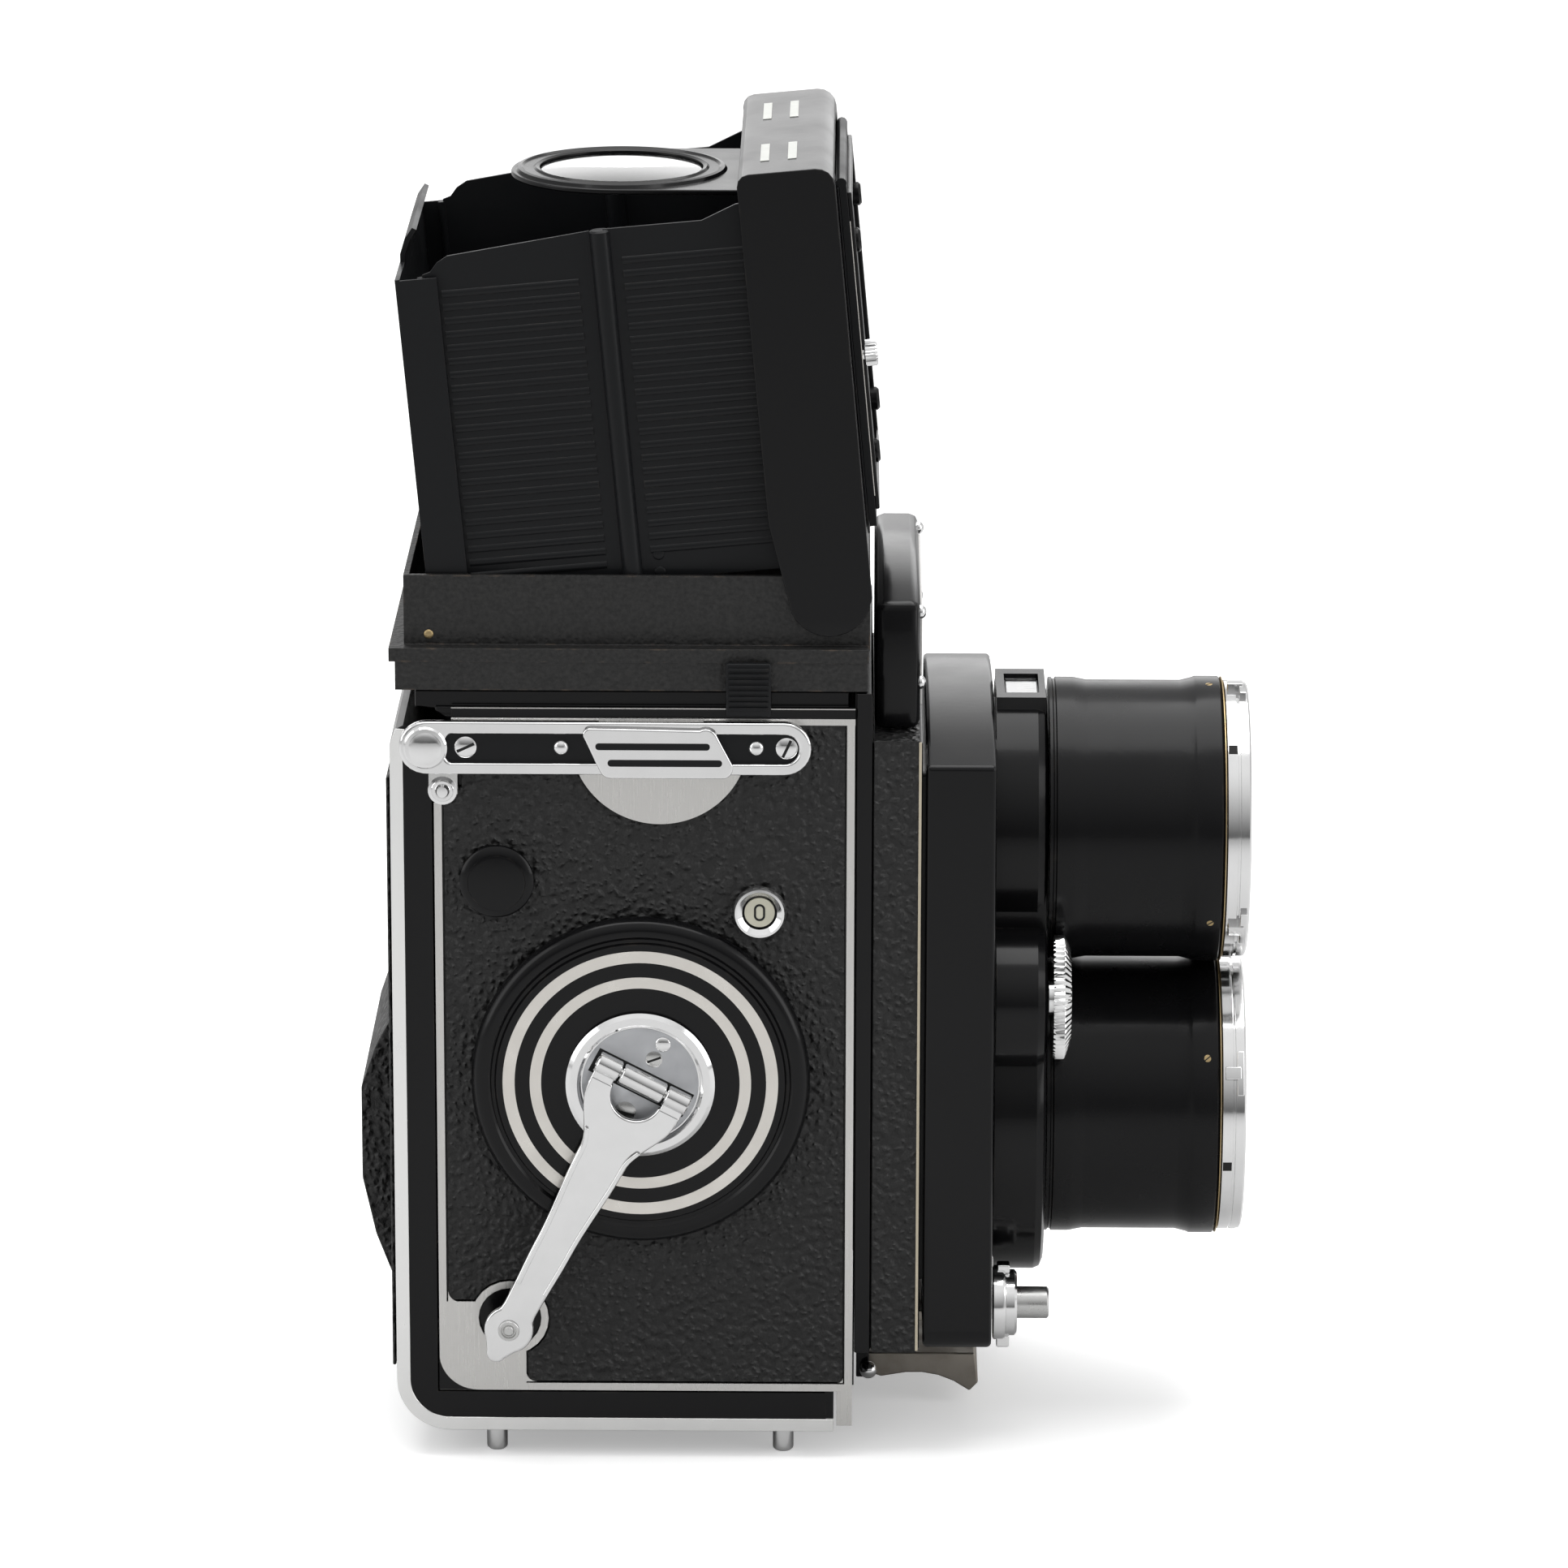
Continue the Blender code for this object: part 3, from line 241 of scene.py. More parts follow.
def metal(name, colour, rough=0.09, brushed=None):
    """Polished or dull metal; brushed stretches its grain along one axis."""
    mat, tree, shader = new_material(name)
    shader.inputs["Metallic"].default_value = 1
    lines = noise(tree, coords(tree, brushed or (1, 1, 1)), 900 if brushed else 240, 5, 0.6)
    dull = tuple(c * 0.88 for c in colour)
    mixed = mix_colour(tree, lines, dull, colour)
    tree.links.new(mixed.outputs["Result"], shader.inputs["Base Color"])
    tree.links.new(ramp(tree, lines, 0.3, 0.7, rough * 0.7, rough * 1.6), shader.inputs["Roughness"])
    bump(tree, shader, lines, 0.00004 if brushed else 0.00001, 0.5)
    return mat


def glass(name, tint=(1, 1, 1), coat=(1, 1, 1), rough=0.0):
    """Clear glass with a tinted coating and faint dust."""
    mat, tree, shader = new_material(name)
    shader.inputs["Transmission Weight"].default_value = 1
    shader.inputs["IOR"].default_value = 1.5
    shader.inputs["Coat Weight"].default_value = 1
    shader.inputs["Coat Tint"].default_value = (*coat, 1)
    dust = noise(tree, coords(tree), 500, 5)
    tree.links.new(ramp(tree, dust, 0.55, 0.9, rough, rough + 0.12), shader.inputs["Roughness"])
    mixed = mix_colour(tree, ramp(tree, dust, 0.5, 0.9, 0, 0.4), tint, (0.86, 0.86, 0.88))
    tree.links.new(mixed.outputs["Result"], shader.inputs["Base Color"])
    return mat


def plain(name, colour, rough=0.5, spread=0.25):
    """A printed or moulded surface that varies a little in tone."""
    mat, tree, shader = new_material(name)
    darker = tuple(c * (1 - spread) for c in colour)
    mixed = mix_colour(tree, noise(tree, coords(tree), 380, 4), darker, colour)
    tree.links.new(mixed.outputs["Result"], shader.inputs["Base Color"])
    shader.inputs["Roughness"].default_value = rough
    bump(tree, shader, noise(tree, coords(tree), 1600, 2), 0.00002, 0.4)
    return mat


ENAMEL = paint("enamel")
SATIN_BLACK = paint("satin_black", (0.008, 0.0085, 0.0095), 0.36, coat=0.05, peel=0.00003, amount=0.2)
TUBE_BLACK = paint("tube_black", (0.005, 0.005, 0.0055), 0.24, coat=0.04, amount=0.3)
MATT_BLACK = plain("matt_black", (0.008, 0.008, 0.008), 0.8)
LEATHER = leather("pebbled_leather")
CRACKLE = crackle("crackle_black")
CHROME = metal("chrome", (0.87, 0.87, 0.87))
CHROME_DULL = metal("chrome_dull", (0.66, 0.66, 0.65), 0.24)
BRUSHED = metal("brushed_silver", (0.72, 0.71, 0.69), 0.3, (4, 4, 0.15))
RIM = metal("bright_rim", (0.96, 0.96, 0.95), 0.18)
BRASS = metal("worn_brass", (0.5, 0.38, 0.2), 0.35)
STEEL = metal("old_steel", (0.36, 0.33, 0.29), 0.45)
SILVER_LINE = metal("silver_line", (0.86, 0.83, 0.78), 0.32)
CREAM = plain("cream_line", (0.62, 0.55, 0.42))
WHITE_MARK = plain("white_mark", (0.75, 0.74, 0.7))
RED_MARK = plain("red_mark", (0.5, 0.03, 0.02))
GREY = plain("grey_plate", (0.16, 0.16, 0.165), 0.42)
DIAL_IVORY = plain("ivory_disc", (0.72, 0.7, 0.57), 0.35)
LENS_GLASS = glass("coated_glass", (0.95, 0.96, 1.0), (0.9, 0.85, 1.0))
CLEAR_GLASS = glass("clear_glass")
SCREEN = glass("ground_screen", (0.9, 0.92, 0.94), rough=0.35)
MIRROR = metal("front_silvering", (0.9, 0.91, 0.93), 0.02)
IRIS = plain("iris_blades", (0.03, 0.03, 0.032), 0.35)
HUB_SATIN = metal("hub_satin", (0.6, 0.61, 0.63), 0.42)
METER_DIFFUSER = plain("meter_diffuser", (0.34, 0.36, 0.36), 0.25)
LID_MARK = plain("lid_mark_grey", (0.55, 0.56, 0.53), 0.4)


# ------------------------------------------------------------------ geometry

def emit(name, bm, place, body, mat, bevel=0.0, segments=3, angle=32):
    """Turns a bmesh in millimetres into a riding piece with smooth round faces."""
    bmesh.ops.remove_doubles(bm, verts=bm.verts, dist=0.0005)
    bmesh.ops.recalc_face_normals(bm, faces=bm.faces)
    bm.transform(Matrix.Translation(SHIFT) @ Matrix.Scale(MM, 4) @ place)
    mesh = bpy.data.meshes.new(name)
    bm.to_mesh(mesh)
    bm.free()
    return place_mesh(name, mesh, body, mat, bevel, segments, angle)


def place_mesh(name, mesh, body, mat, bevel, segments, angle):
    """Links a mesh in metres, rounds the edges sharper than angle and lets it ride on a body."""
    mesh.shade_smooth()
    mesh.set_sharp_from_angle(angle=math.radians(angle))
    mesh.materials.clear()
    mesh.materials.append(mat)
    obj = bpy.data.objects.new(name, mesh)
    bpy.context.scene.collection.objects.link(obj)
    if bevel:
        made = obj.modifiers.new("edges", "BEVEL")
        made.width = bevel * MM
        made.segments = segments
        made.limit_method = "ANGLE"
        made.angle_limit = math.radians(angle)
        made.harden_normals = True
    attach(obj, body)
    return obj


def ring_points(profile, angle, flute):
    """The profile turned to one angle; flute holds teeth, depth and the heights they lie between."""
    points = []
    teeth, depth, low, high = flute or (0, 0, 0, 0)
    widest = max(r for r, _ in profile)
    for radius, height in profile:
        if flute and low <= height <= high and radius > widest * 0.82:
            radius -= depth * (0.5 - 0.5 * math.cos(teeth * angle))
        points.append((radius * math.cos(angle), radius * math.sin(angle), height))
    return points


def lathe_bm(profile, steps, closed, flute):
    """Turns (radius, height) pairs about z; a closed profile goes round a hole."""
    bm = bmesh.new()
    if flute:
        steps = flute[0] * 6
    rings = []
    for i in range(steps):
        rings.append([bm.verts.new(p) for p in ring_points(profile, math.tau * i / steps, flute)])
    count = len(profile) if closed else len(profile) - 1
    for i in range(steps):
        here, there = rings[i], rings[(i + 1) % steps]
        for j in range(count):
            k = (j + 1) % len(profile)
            bm.faces.new((here[j], here[k], there[k], there[j]))
    bmesh.ops.remove_doubles(bm, verts=bm.verts, dist=0.0005)
    bmesh.ops.dissolve_degenerate(bm, edges=bm.edges, dist=0.0001)
    return bm


def lathe(name, profile, place, body, mat, steps=96, closed=False, flute=None):
    return emit(name, lathe_bm(profile, steps, closed, flute), place, body, mat)


def prism_bm(outline, low, high, bm=None):
    """A flat outline in (x, y) raised from z = low to z = high."""
    bm = bm or bmesh.new()
    bottom = [bm.verts.new((x, y, low)) for x, y in outline]
    top = [bm.verts.new((x, y, high)) for x, y in outline]
    bm.faces.new(bottom[::-1])
    bm.faces.new(top)
    for i in range(len(outline)):
        j = (i + 1) % len(outline)
        bm.faces.new((bottom[i], bottom[j], top[j], top[i]))
    return bm


def across(place):
    """The same axes with the turning axis laid along x."""
    return place @ Matrix.Rotation(math.radians(90), 4, "Y")


def prism(name, outline, low, high, place, body, mat, bevel=0.15):
    return emit(name, prism_bm(outline, low, high), place, body, mat, bevel)


def block(name, low, high, place, body, mat, bevel=0.15):
    outline = rectangle(low[0], high[0], low[1], high[1])
    return prism(name, outline, low[2], high[2], place, body, mat, bevel)


def arc(x, y, radius, start, end, steps=16):
    angles = [math.radians(start + (end - start) * i / steps) for i in range(steps + 1)]
    return [(x + radius * math.cos(a), y + radius * math.sin(a)) for a in angles]


def mirrored(outline, flip):
    """An outline in (Y, Z) laid on the near side (flip -1) or the far side (flip 1)."""
    return [(flip * y, z) for y, z in outline]


def rectangle(x0, x1, y0, y1):
    return [(x0, y0), (x1, y0), (x1, y1), (x0, y1)]


def rounded(x0, x1, y0, y1, left, right, steps=7):
    """Rectangle with one corner radius at each end."""
    corners = ((x0 + left, y0 + left, left, 180), (x1 - right, y0 + right, right, 270),
               (x1 - right, y1 - right, right, 0), (x0 + left, y1 - left, left, 90))
    return [point for x, y, radius, start in corners for point in arc(x, y, radius, start, start + 90, steps)]


def frame_bm(outer, inner, low, high):
    """A flat ring between two outlines that have the same number of points."""
    bm = bmesh.new()
    loops = [[bm.verts.new((x, y, z)) for x, y in line] for line, z in
             ((outer, low), (outer, high), (inner, high), (inner, low))]
    count = len(outer)
    for a, b in zip(loops, loops[1:] + loops[:1]):
        for i in range(count):
            j = (i + 1) % count
            bm.faces.new((a[i], a[j], b[j], b[i]))
    return bm


def refine(names, mat, bevel=0.3, segments=3, angle=32):
    """Stands for CAD nodes with the same shape, its edges rounded and its flat faces merged."""
    for name in names.split():
        bm = bmesh.new()
        bm.from_mesh(NODES[name].data)
        bmesh.ops.remove_doubles(bm, verts=bm.verts, dist=0.000002)
        bmesh.ops.dissolve_limit(bm, angle_limit=math.radians(1.0), verts=bm.verts, edges=bm.edges)
        mesh = bpy.data.meshes.new(name + "_skin")
        bm.to_mesh(mesh)
        bm.free()
        body, slot = NODE_BODY[name], NODE_SLOT[name]
        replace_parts(place_mesh(name + "_skin", mesh, body, mat, bevel, segments, angle), name)


def repaint(names, mat):
    """Gives CAD nodes that stay in view a finer material."""
    for name in names.split():
        NODES[name].data.materials.clear()
        NODES[name].data.materials.append(mat)


def screw(name, place, radius, body, mat, tall, turn):
    """A slotted screw head: a domed disc and a matt black bar across it that stands for the slot, its dark
    painted shade.
    """
    head = [(0, tall), (radius * 0.7, tall * 0.92), (radius, tall * 0.35), (radius, -0.2), (0, -0.2)]
    lathe(name, head, place, body, mat, 40)
    place = place @ Matrix.Rotation(math.radians(turn), 4, "Z")
    long, wide = radius * 0.86, radius * 0.13
    # The slot is a matt black bar on the head: painted shade where the cut lies.
    block(name + "_slot", (-long, -wide, tall * 0.6), (long, wide, tall + 0.03), place, body,
          MATT_BLACK, 0)


def rivet(name, place, radius, body, mat, tall):
    dome = [(radius * math.sin(a), tall * math.cos(a)) for a in (math.pi / 2 * i / 8 for i in range(9))]
    lathe(name, dome + [(radius, -0.2), (0, -0.2)], place, body, mat, 40)


# ------------------------------------------------------------------ body sides

def body():
    refine("body_casting front_frame back_door meter_housing lens_panel", ENAMEL, 0.25)
    refine("front_standard", ENAMEL, 0.8, 4)
    # Short edges would otherwise hold back the rounding of the long ones.
    bpy.data.objects["front_standard_skin"].modifiers["edges"].use_clamp_overlap = False
    refine("side_leather_near side_leather_far front_leather", LEATHER, 0.12)
    refine("back_leather", LEATHER, 1.2, 4, 8)
    refine("side_trim_near side_trim_far", BRUSHED, 0.1, 2)
    refine("pressure_plate", SATIN_BLACK, 0.2)
    refine("take_up_spool supply_spool", SATIN_BLACK, 0.15)
    refine("foot_rear_near foot_front_near foot_rear_far foot_front_far", CHROME, 0.1)
    repaint("mirror", MIRROR)
    repaint("ground_glass", SCREEN)
    repaint("door_pin_near door_pin_far crank_pin", CHROME_DULL)


def door_rims():
    """Bright edge on both sides of the back door, and at the front a matt black strip of painted shade in the
    gap, and the lines.
    """
    corner = (32.2, 13.8)
    outer = [(-32.3, 4.8)] + arc(*corner, 9.0, -90, 0, 24) + [(41.2, 124.5), (40.2, 127.3)]
    inner = [(38.6, 127.2), (39.0, 124.3)] + arc(*corner, 6.7, 0, -90, 24) + [(-32.3, 7.0)]
    for side, place, flip in (("near", near(0, 0), -1), ("far", far(0, 0), 1)):
        rim = mirrored(outer + inner, flip)
        prism(f"door_rim_{side}", rim, -0.1, 0.35, place, "door", RIM, 0.14)
        band = mirrored(rectangle(-32.3, -30.8, 7.0, 11.9), flip)
        prism(f"door_band_end_{side}", band, -1.2, -0.02, place, "door", ENAMEL, 0.1)
        foot = mirrored(rectangle(-33.9, -32.8, 5.8, 12.4), flip)
        prism(f"trim_foot_{side}", foot, -0.5, 0.08, place, "camera", BRUSHED, 0.06)
        # A matt black strip sunk in the gap at the front: painted shade where the gap would show through.
        gap_shade = mirrored(rectangle(-35.68, -35.42, 12.6, 133.2), flip)
        prism(f"front_gap_shade_{side}", gap_shade, -4.0, -1.3, place, "camera", MATT_BLACK, 0)
        line = mirrored(rectangle(-46.4, -45.95, 19.2, 125.2), flip)
        prism(f"cream_line_{side}", line, -0.35, -0.08, place, "camera", CREAM, 0.03)


def trim_corners():
    """Rounded corners where the trim of the crank side meets the door band and the leather."""
    corners = ((34.05, 11.95, -1, 6.5, 0.13, "casting", ENAMEL),
               (32.45, 27.55, -1, 2.0, 0.08, "satin_chrome", BRUSHED),
               (19.45, 13.45, -1, 1.8, 0.08, "satin_chrome", BRUSHED),
               (-33.85, 13.45, 1, 0.9, 0.08, "satin_chrome", BRUSHED))
    for i, (y, z, inward, radius, high, slot, mat) in enumerate(corners):
        end = 180 if inward > 0 else 360
        outline = [(y, z)] + arc(y + inward * radius, z + radius, radius, 270, end, 12)
        prism(f"trim_corner_{i}", mirrored(outline, -1), -0.3, high, near(0, 0), "camera", mat, 0)


def strap_bars():
    """Neck strap rails with bridge, screws and shield, and the dark band over the trim."""
    shield = arc(-3.3, 126.0, 14.7, 202, 338, 40)
    bridge = arc(-10.9, 126.2, 2.0, 60, 150, 6) + arc(-13.6, 121.5, 1.8, 160, 270, 6)
    bridge += arc(4.6, 121.8, 2.1, 270, 330, 6) + arc(8.0, 127.0, 1.3, 0, 90, 6)
    rail_outer = rounded(-28.3, 39.6, 120.0, 129.0, 4.5, 4.5)
    rail_inner = rounded(-26.2, 31.9, 122.0, 126.9, 2.4, 1.4)
    slots = (("upper_slot_shade", -11.6, 7.2, 125.2), ("lower_slot_shade", -13.6, 5.2, 122.4))
    trims = (("tab", (-10.5, 6.7), (128.6, 129.35), 0.9, "satin_chrome", BRUSHED),
             ("top_line", (-35.45, 31.0), (128.1, 129.2), 0.13, "satin_chrome", BRUSHED),
             ("top_band", (-35.45, 31.0), (129.2, 130.75), 0.16, "casting", ENAMEL),
             ("top_edge", (-35.45, 31.0), (130.75, 130.9), 0.14, "satin_chrome", BRUSHED))
    button = [(0, 1.0), (2.2, 0.95), (2.7, 0.7), (2.75, 0.35), (3.3, 0.3), (3.6, 0.0), (3.6, -0.3), (0, -0.3)]
    stud = [(0, 1.6), (0.9, 1.5), (1.3, 0.9), (1.7, 0.9), (1.9, 0.5), (2.4, 0.4), (2.6, 0), (0, 0)]
    for side, make, flip in (("near", near, -1), ("far", far, 1)):
        tag = f"strap_{side}_"
        place, who = make(0, 0), "camera"
        outline = mirrored(rounded(-27.6, 39.0, 120.4, 128.6, 4.0, 4.0), flip)
        bed = prism(tag + "bed", outline, 0.5, 1.2, place, who, SATIN_BLACK, 0.1)
        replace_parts(bed, f"strap_bar_{side}")
        rail = frame_bm(mirrored(rail_outer, flip), mirrored(rail_inner, flip), 0.5, 2.2)
        emit(tag + "rail", rail, place, who, CHROME, 0.6, 5)
        prism(tag + "bridge", mirrored(bridge, flip), 0.6, 3.3, place, who, CHROME, 0.75)
        # The bridge's two slots are thin dark plates on its face: painted shade in the openings.
        for name, start, end, z in slots:
            slot = mirrored(rounded(start, end, z - 0.58, z + 0.58, 0.55, 0.55, 5), flip)
            prism(tag + name, slot, 3.1, 3.34, place, who, SATIN_BLACK, 0)
        for i, y in enumerate((28.6, -24.2)):
            screw(f"{tag}screw_{i}", make(y, STRAP_Z, 38.5), 1.8, who, CHROME, 0.6, 25 + 40 * i)
        for i, y in enumerate((12.9, -19.2)):
            rivet(f"{tag}rivet_{i}", make(y, STRAP_Z, 38.5), 1.3, who, CHROME, 0.9)
        lathe(tag + "end_button", button, make(35.2, STRAP_Z, 39.5), who, CHROME, 64)
        for name, (start, end), (low, high), top, slot, mat in trims:
            outline = mirrored(rounded(start, end, low, high, 0.04, 0.04, 3), flip)
            prism(tag + name, outline, -0.4, top, place, who, mat, 0.03)
        lug = flip * 32.4
        block(tag + "lug", (lug - 2.4, 116.2, 0.3), (lug + 2.4, 121, 0.75), place, who, CHROME_DULL)
        lathe(tag + "stud", stud, make(32.5, 116.9, 37.7), who, CHROME, 48)
        prism(tag + "shield_face", mirrored(shield, flip), 0.3, 0.8, place, who, BRUSHED,
              0.08)


def counter_and_cap():
    """Frame counter with its figure 0, and the round cap over the take-up spool."""
    place = near(-19.75, 96.2)
    bezel = [(2.9, 0.7), (2.9, 1.0), (3.7, 1.7), (4.1, 1.65), (4.5, 1.0), (4.5, 0.3), (2.9, 0.3)]
    fine = lathe("counter_bezel_fine", bezel, place, "camera", CHROME, 72, True)
    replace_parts(fine, "counter_bezel")
    disc = [(0, 0.8), (2.5, 0.8), (2.5, 0.3), (0, 0.3)]
    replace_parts(lathe("counter_disc", disc, place, "counter", DIAL_IVORY, 48), "counter_dial")
    outer = rounded(-0.92, 0.92, -1.45, 1.45, 0.9, 0.9)
    inner = rounded(-0.58, 0.58, -1.1, 1.1, 0.56, 0.56)
    emit("counter_zero", frame_bm(outer, inner, 0.8, 0.86), place, "counter", MATT_BLACK)
    cap = [(0, 1.9), (4.3, 1.85), (4.7, 1.75), (4.8, 1.55), (5.6, 1.35), (6.1, 0.9), (6.2, 0.3), (0, 0.3)]
    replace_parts(lathe("side_cap_fine", cap, near(*TAKE_UP), "camera", ENAMEL, 80), "side_cap")


def crank():
    """Dial plate with its two silver rings, the hub disc and its half of the hinge."""
    dial = [(3.3, 2.75), (24.0, 2.75), (24.3, 2.3), (24.8, 2.3), (25.3, 2.7), (26.2, 2.8), (27.1, 2.55),
            (27.8, 1.9), (28.2, 1.0), (28.2, 0.3), (3.3, 0.3)]
    face = near(0, CRANK_Z)
    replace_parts(lathe("dial_plate", dial, face, "camera", ENAMEL, 160, True), "crank_dial")
    for name, low, high in (("dial_ring_outer", 20.9, 22.9), ("dial_ring_inner", 16.5, 18.4)):
        ring = [(low, 2.83), (high, 2.83), (high, 2.7), (low, 2.7)]
        lathe(name, ring, face, "camera", SILVER_LINE, 160, True)
    hub = [(0, 3.1), (9.9, 3.1), (10.1, 3.9), (10.5, 4.15), (11.7, 4.15), (12.4, 3.6), (12.4, 2.95),
           (3, 2.95), (3, -3.4), (0, -3.4)]
    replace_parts(lathe("hub_disc", hub, CRANK, "crank", CHROME, 96), "crank_hub")
    plate = [(0, 3.2), (9.7, 3.2), (9.7, 3.05), (0, 3.05)]
    lathe("hub_plate", plate, CRANK, "crank", HUB_SATIN, 96)
    tube = [(0.95, 3.9), (1.6, 3.9), (1.8, 3.7), (1.8, -3.7), (1.6, -3.9), (0.95, -3.9)]
    lathe("hub_knuckle_fine", tube, across(CRANK_HINGE), "crank", CHROME, 48, True)
    block("hub_rib_fine", (-3.7, -2.1, 3.0), (3.7, 0.3, 4.4), CRANK, "crank", CHROME, 0.3)
    # A thin matt black sheet on the hub plate: painted shade where the recess lies.
    block("hub_recess_shade", (-8.8, -2.5, 3.15), (8.8, 1.9, 3.24), CRANK, "crank", MATT_BLACK, 0.02)
    rivet("hub_pin_head", near(-3.8, CRANK_Z + 6.9, 40.5), 1.35, "crank", CHROME, 0.5)
    screw("hub_screw_0", near(-2.3, CRANK_Z + 4.3, 40.5), 1.4, "crank", CHROME_DULL, 0.25, 20)
    screw("hub_screw_1", near(2.6, CRANK_Z - 5.0, 40.5), 1.9, "crank", CHROME_DULL, 0.3, -15)
    arm_parts()


def smooth_width(along, stations):
    """Half the arm's width at one place, eased between (place, half width) stations."""
    for (x0, w0), (x1, w1) in zip(stations, stations[1:]):
        if along <= x1:
            t = max(0.0, (along - x0) / (x1 - x0))
            return w0 + (w1 - w0) * t * t * (3 - 2 * t)
    return stations[-1][1]


def arm_parts():
    """Folding arm with raised edges, two hinge knuckles, rivet and finger knob."""
    neck = KNOB_REACH - 4.1
    stations = [(1.3, 8.3), (3.2, 8.1), (13.5, 4.3), (31.0, 3.3), (neck, 2.9)]
    steps = [1.3 + (neck - 1.3) * i / 40 for i in range(41)]
    left = [(-smooth_width(y, stations), y) for y in steps]
    head = arc(0, KNOB_REACH, 4.1, 222, 132, 14) + arc(0, KNOB_REACH + 4.6, 1.65, 170, 10, 12)
    head += arc(0, KNOB_REACH, 4.1, 48, -42, 14)
    right = [(smooth_width(y, stations), y) for y in reversed(steps)]
    notch = arc(0, 1.3, 4.2, 0, 180, 20)
    outline = left + head + right + notch
    arm = prism("crank_arm_fine", outline, 5.15, 6.5, CRANK, "crank_arm", CHROME, 0.55)
    arm.modifiers["edges"].segments = 5
    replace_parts(arm, "crank_arm")
    raised = steps[8:37]
    for side in (-1, 1):
        rail = [(side * (smooth_width(y, stations) - 0.2), y) for y in raised]
        rail += [(side * (smooth_width(y, stations) - 0.95), y) for y in reversed(raised)]
        prism(f"arm_flange_{side + 1}", rail, 6.2, 7.25, CRANK, "crank_arm", CHROME, 0.18)
    for tag, start, end in (("left", -8.4, -4.3), ("right", 4.3, 8.4)):
        tube = [(0.95, end), (1.6, end), (1.8, end - 0.2), (1.8, start + 0.2), (1.6, start), (0.95, start)]
        lathe("arm_knuckle_" + tag, tube, across(CRANK_HINGE), "crank_arm", CHROME, 48, True)
        block("arm_web_" + tag, (start + 0.2, -0.6, 5.2), (end - 0.2, 3.0, 6.4), CRANK, "crank_arm",
              CHROME, 0.3)
    tip = CRANK @ Matrix.Translation((0, KNOB_REACH, 0))
    boss = [(0, 6.9), (0.7, 6.85), (1.0, 6.55), (1.15, 6.55), (1.3, 6.95), (1.65, 6.95), (1.8, 6.7),
            (1.8, 6.3), (0, 6.3)]
    lathe("arm_rivet", boss, tip, "crank_arm", CHROME_DULL, 48)
    knob = [(0, 4.8), (3.2, 4.8), (3.5, 4.5), (3.5, 2.7), (3.1, 2.1), (0, 2.1)]
    fluted = lathe("crank_knob_fine", knob, tip, "crank_arm", ENAMEL, flute=(30, 0.25, 2.5, 4.6))
    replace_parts(fluted, "crank_knob")


def far_side():
    """Focus knob with its scale and the two pull-out spool knobs, all guessed."""
    place = far(-6, 63, KNOB_X)
    flange = [(3, 0.0), (23.2, 0.0), (23.5, 0.3), (23.5, 3.2), (23.0, 3.8), (17.0, 6.2), (3, 6.2)]
    knob = lathe("focus_flange", flange, place, "focus_knob", ENAMEL, 160, True)
    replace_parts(knob, "focus_knob")
    grip = [(0, 12.6), (13.2, 12.6), (13.6, 13.3), (15.3, 13.3), (16.6, 12.4), (16.6, 6.0), (3, 6.0),
            (3, -3.6), (0, -3.6)]
    lathe("focus_grip", grip, place, "focus_knob", ENAMEL, flute=(72, 0.5, 6.1, 12.45))
    ring = [(10.2, 12.68), (12.2, 12.68), (12.2, 12.5), (10.2, 12.5)]
    lathe("focus_ring", ring, place, "focus_knob", SILVER_LINE, 120, True)
    lathe("focus_disc", [(0, 12.75), (8.2, 12.75), (8.6, 12.6), (8.6, 12.4), (0, 12.4)], place, "focus_knob",
          BRUSHED, 96)
    for i in range(30):
        turn = place @ Matrix.Rotation(math.radians(9 * i), 4, "Z") @ Matrix.Translation((20.2, 0, 4.95))
        turn = turn @ Matrix.Rotation(math.radians(21.8), 4, "Y")
        length = 2.2 if i % 5 == 0 else 1.2
        block(f"focus_tick_{i:02d}", (-length / 2, -0.12, -0.1), (length / 2, 0.12, 0.07), turn, "focus_knob",
              WHITE_MARK, 0)
    block("focus_index", (-0.4, 24.4, 0.0), (0.4, 27.4, 0.2), far(-6, 63), "camera", RED_MARK, 0.05)
    cap = [(0, 5.7), (4.4, 5.7), (4.7, 6.2), (6.3, 6.2), (6.8, 5.8), (6.8, 1.7), (5.2, 1.2), (5.2, 0), (2, 0),
           (2, -3.8), (0, -3.8)]
    for name, (y, z) in (("upper", TAKE_UP), ("lower", SUPPLY)):
        place, who, knob = far(y, z, KNOB_X), f"{name}_spool_knob", f"spool_knob_{name}"
        made = lathe(knob + "_fine", cap, place, who, CHROME, flute=(40, 0.35, 1.8, 5.75))
        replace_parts(made, knob)
        block(knob + "_grip", (-4.2, -0.55, 5.6), (4.2, 0.55, 6.5), place, who, CHROME, 0.25)


# ------------------------------------------------------------------ front

def tube_profile():
    """Lens tube: threaded mouth, collar, waist, flared foot."""
    threads = []
    for i in range(8):
        threads += [(20.2, 27.8 - 0.8 * i), (20.0, 27.4 - 0.8 * i)]
    wall = [(23.7, 29.2), (24.2, 28.7), (24.2, 24.8), (24.0, 24.4), (23.5, 22.4), (23.5, 22.1), (23.5, 6.5),
            (23.55, 6.2), (23.9, 4.4), (23.95, 4), (23.95, 1.2), (23.6, 1), (23.6, 0.7), (23.9, 0.5),
            (23.9, 0)]
    return [(20.3, 29.2)] + wall + [(15, 0), (15, 3), (20.2, 3.0)] + threads[::-1]


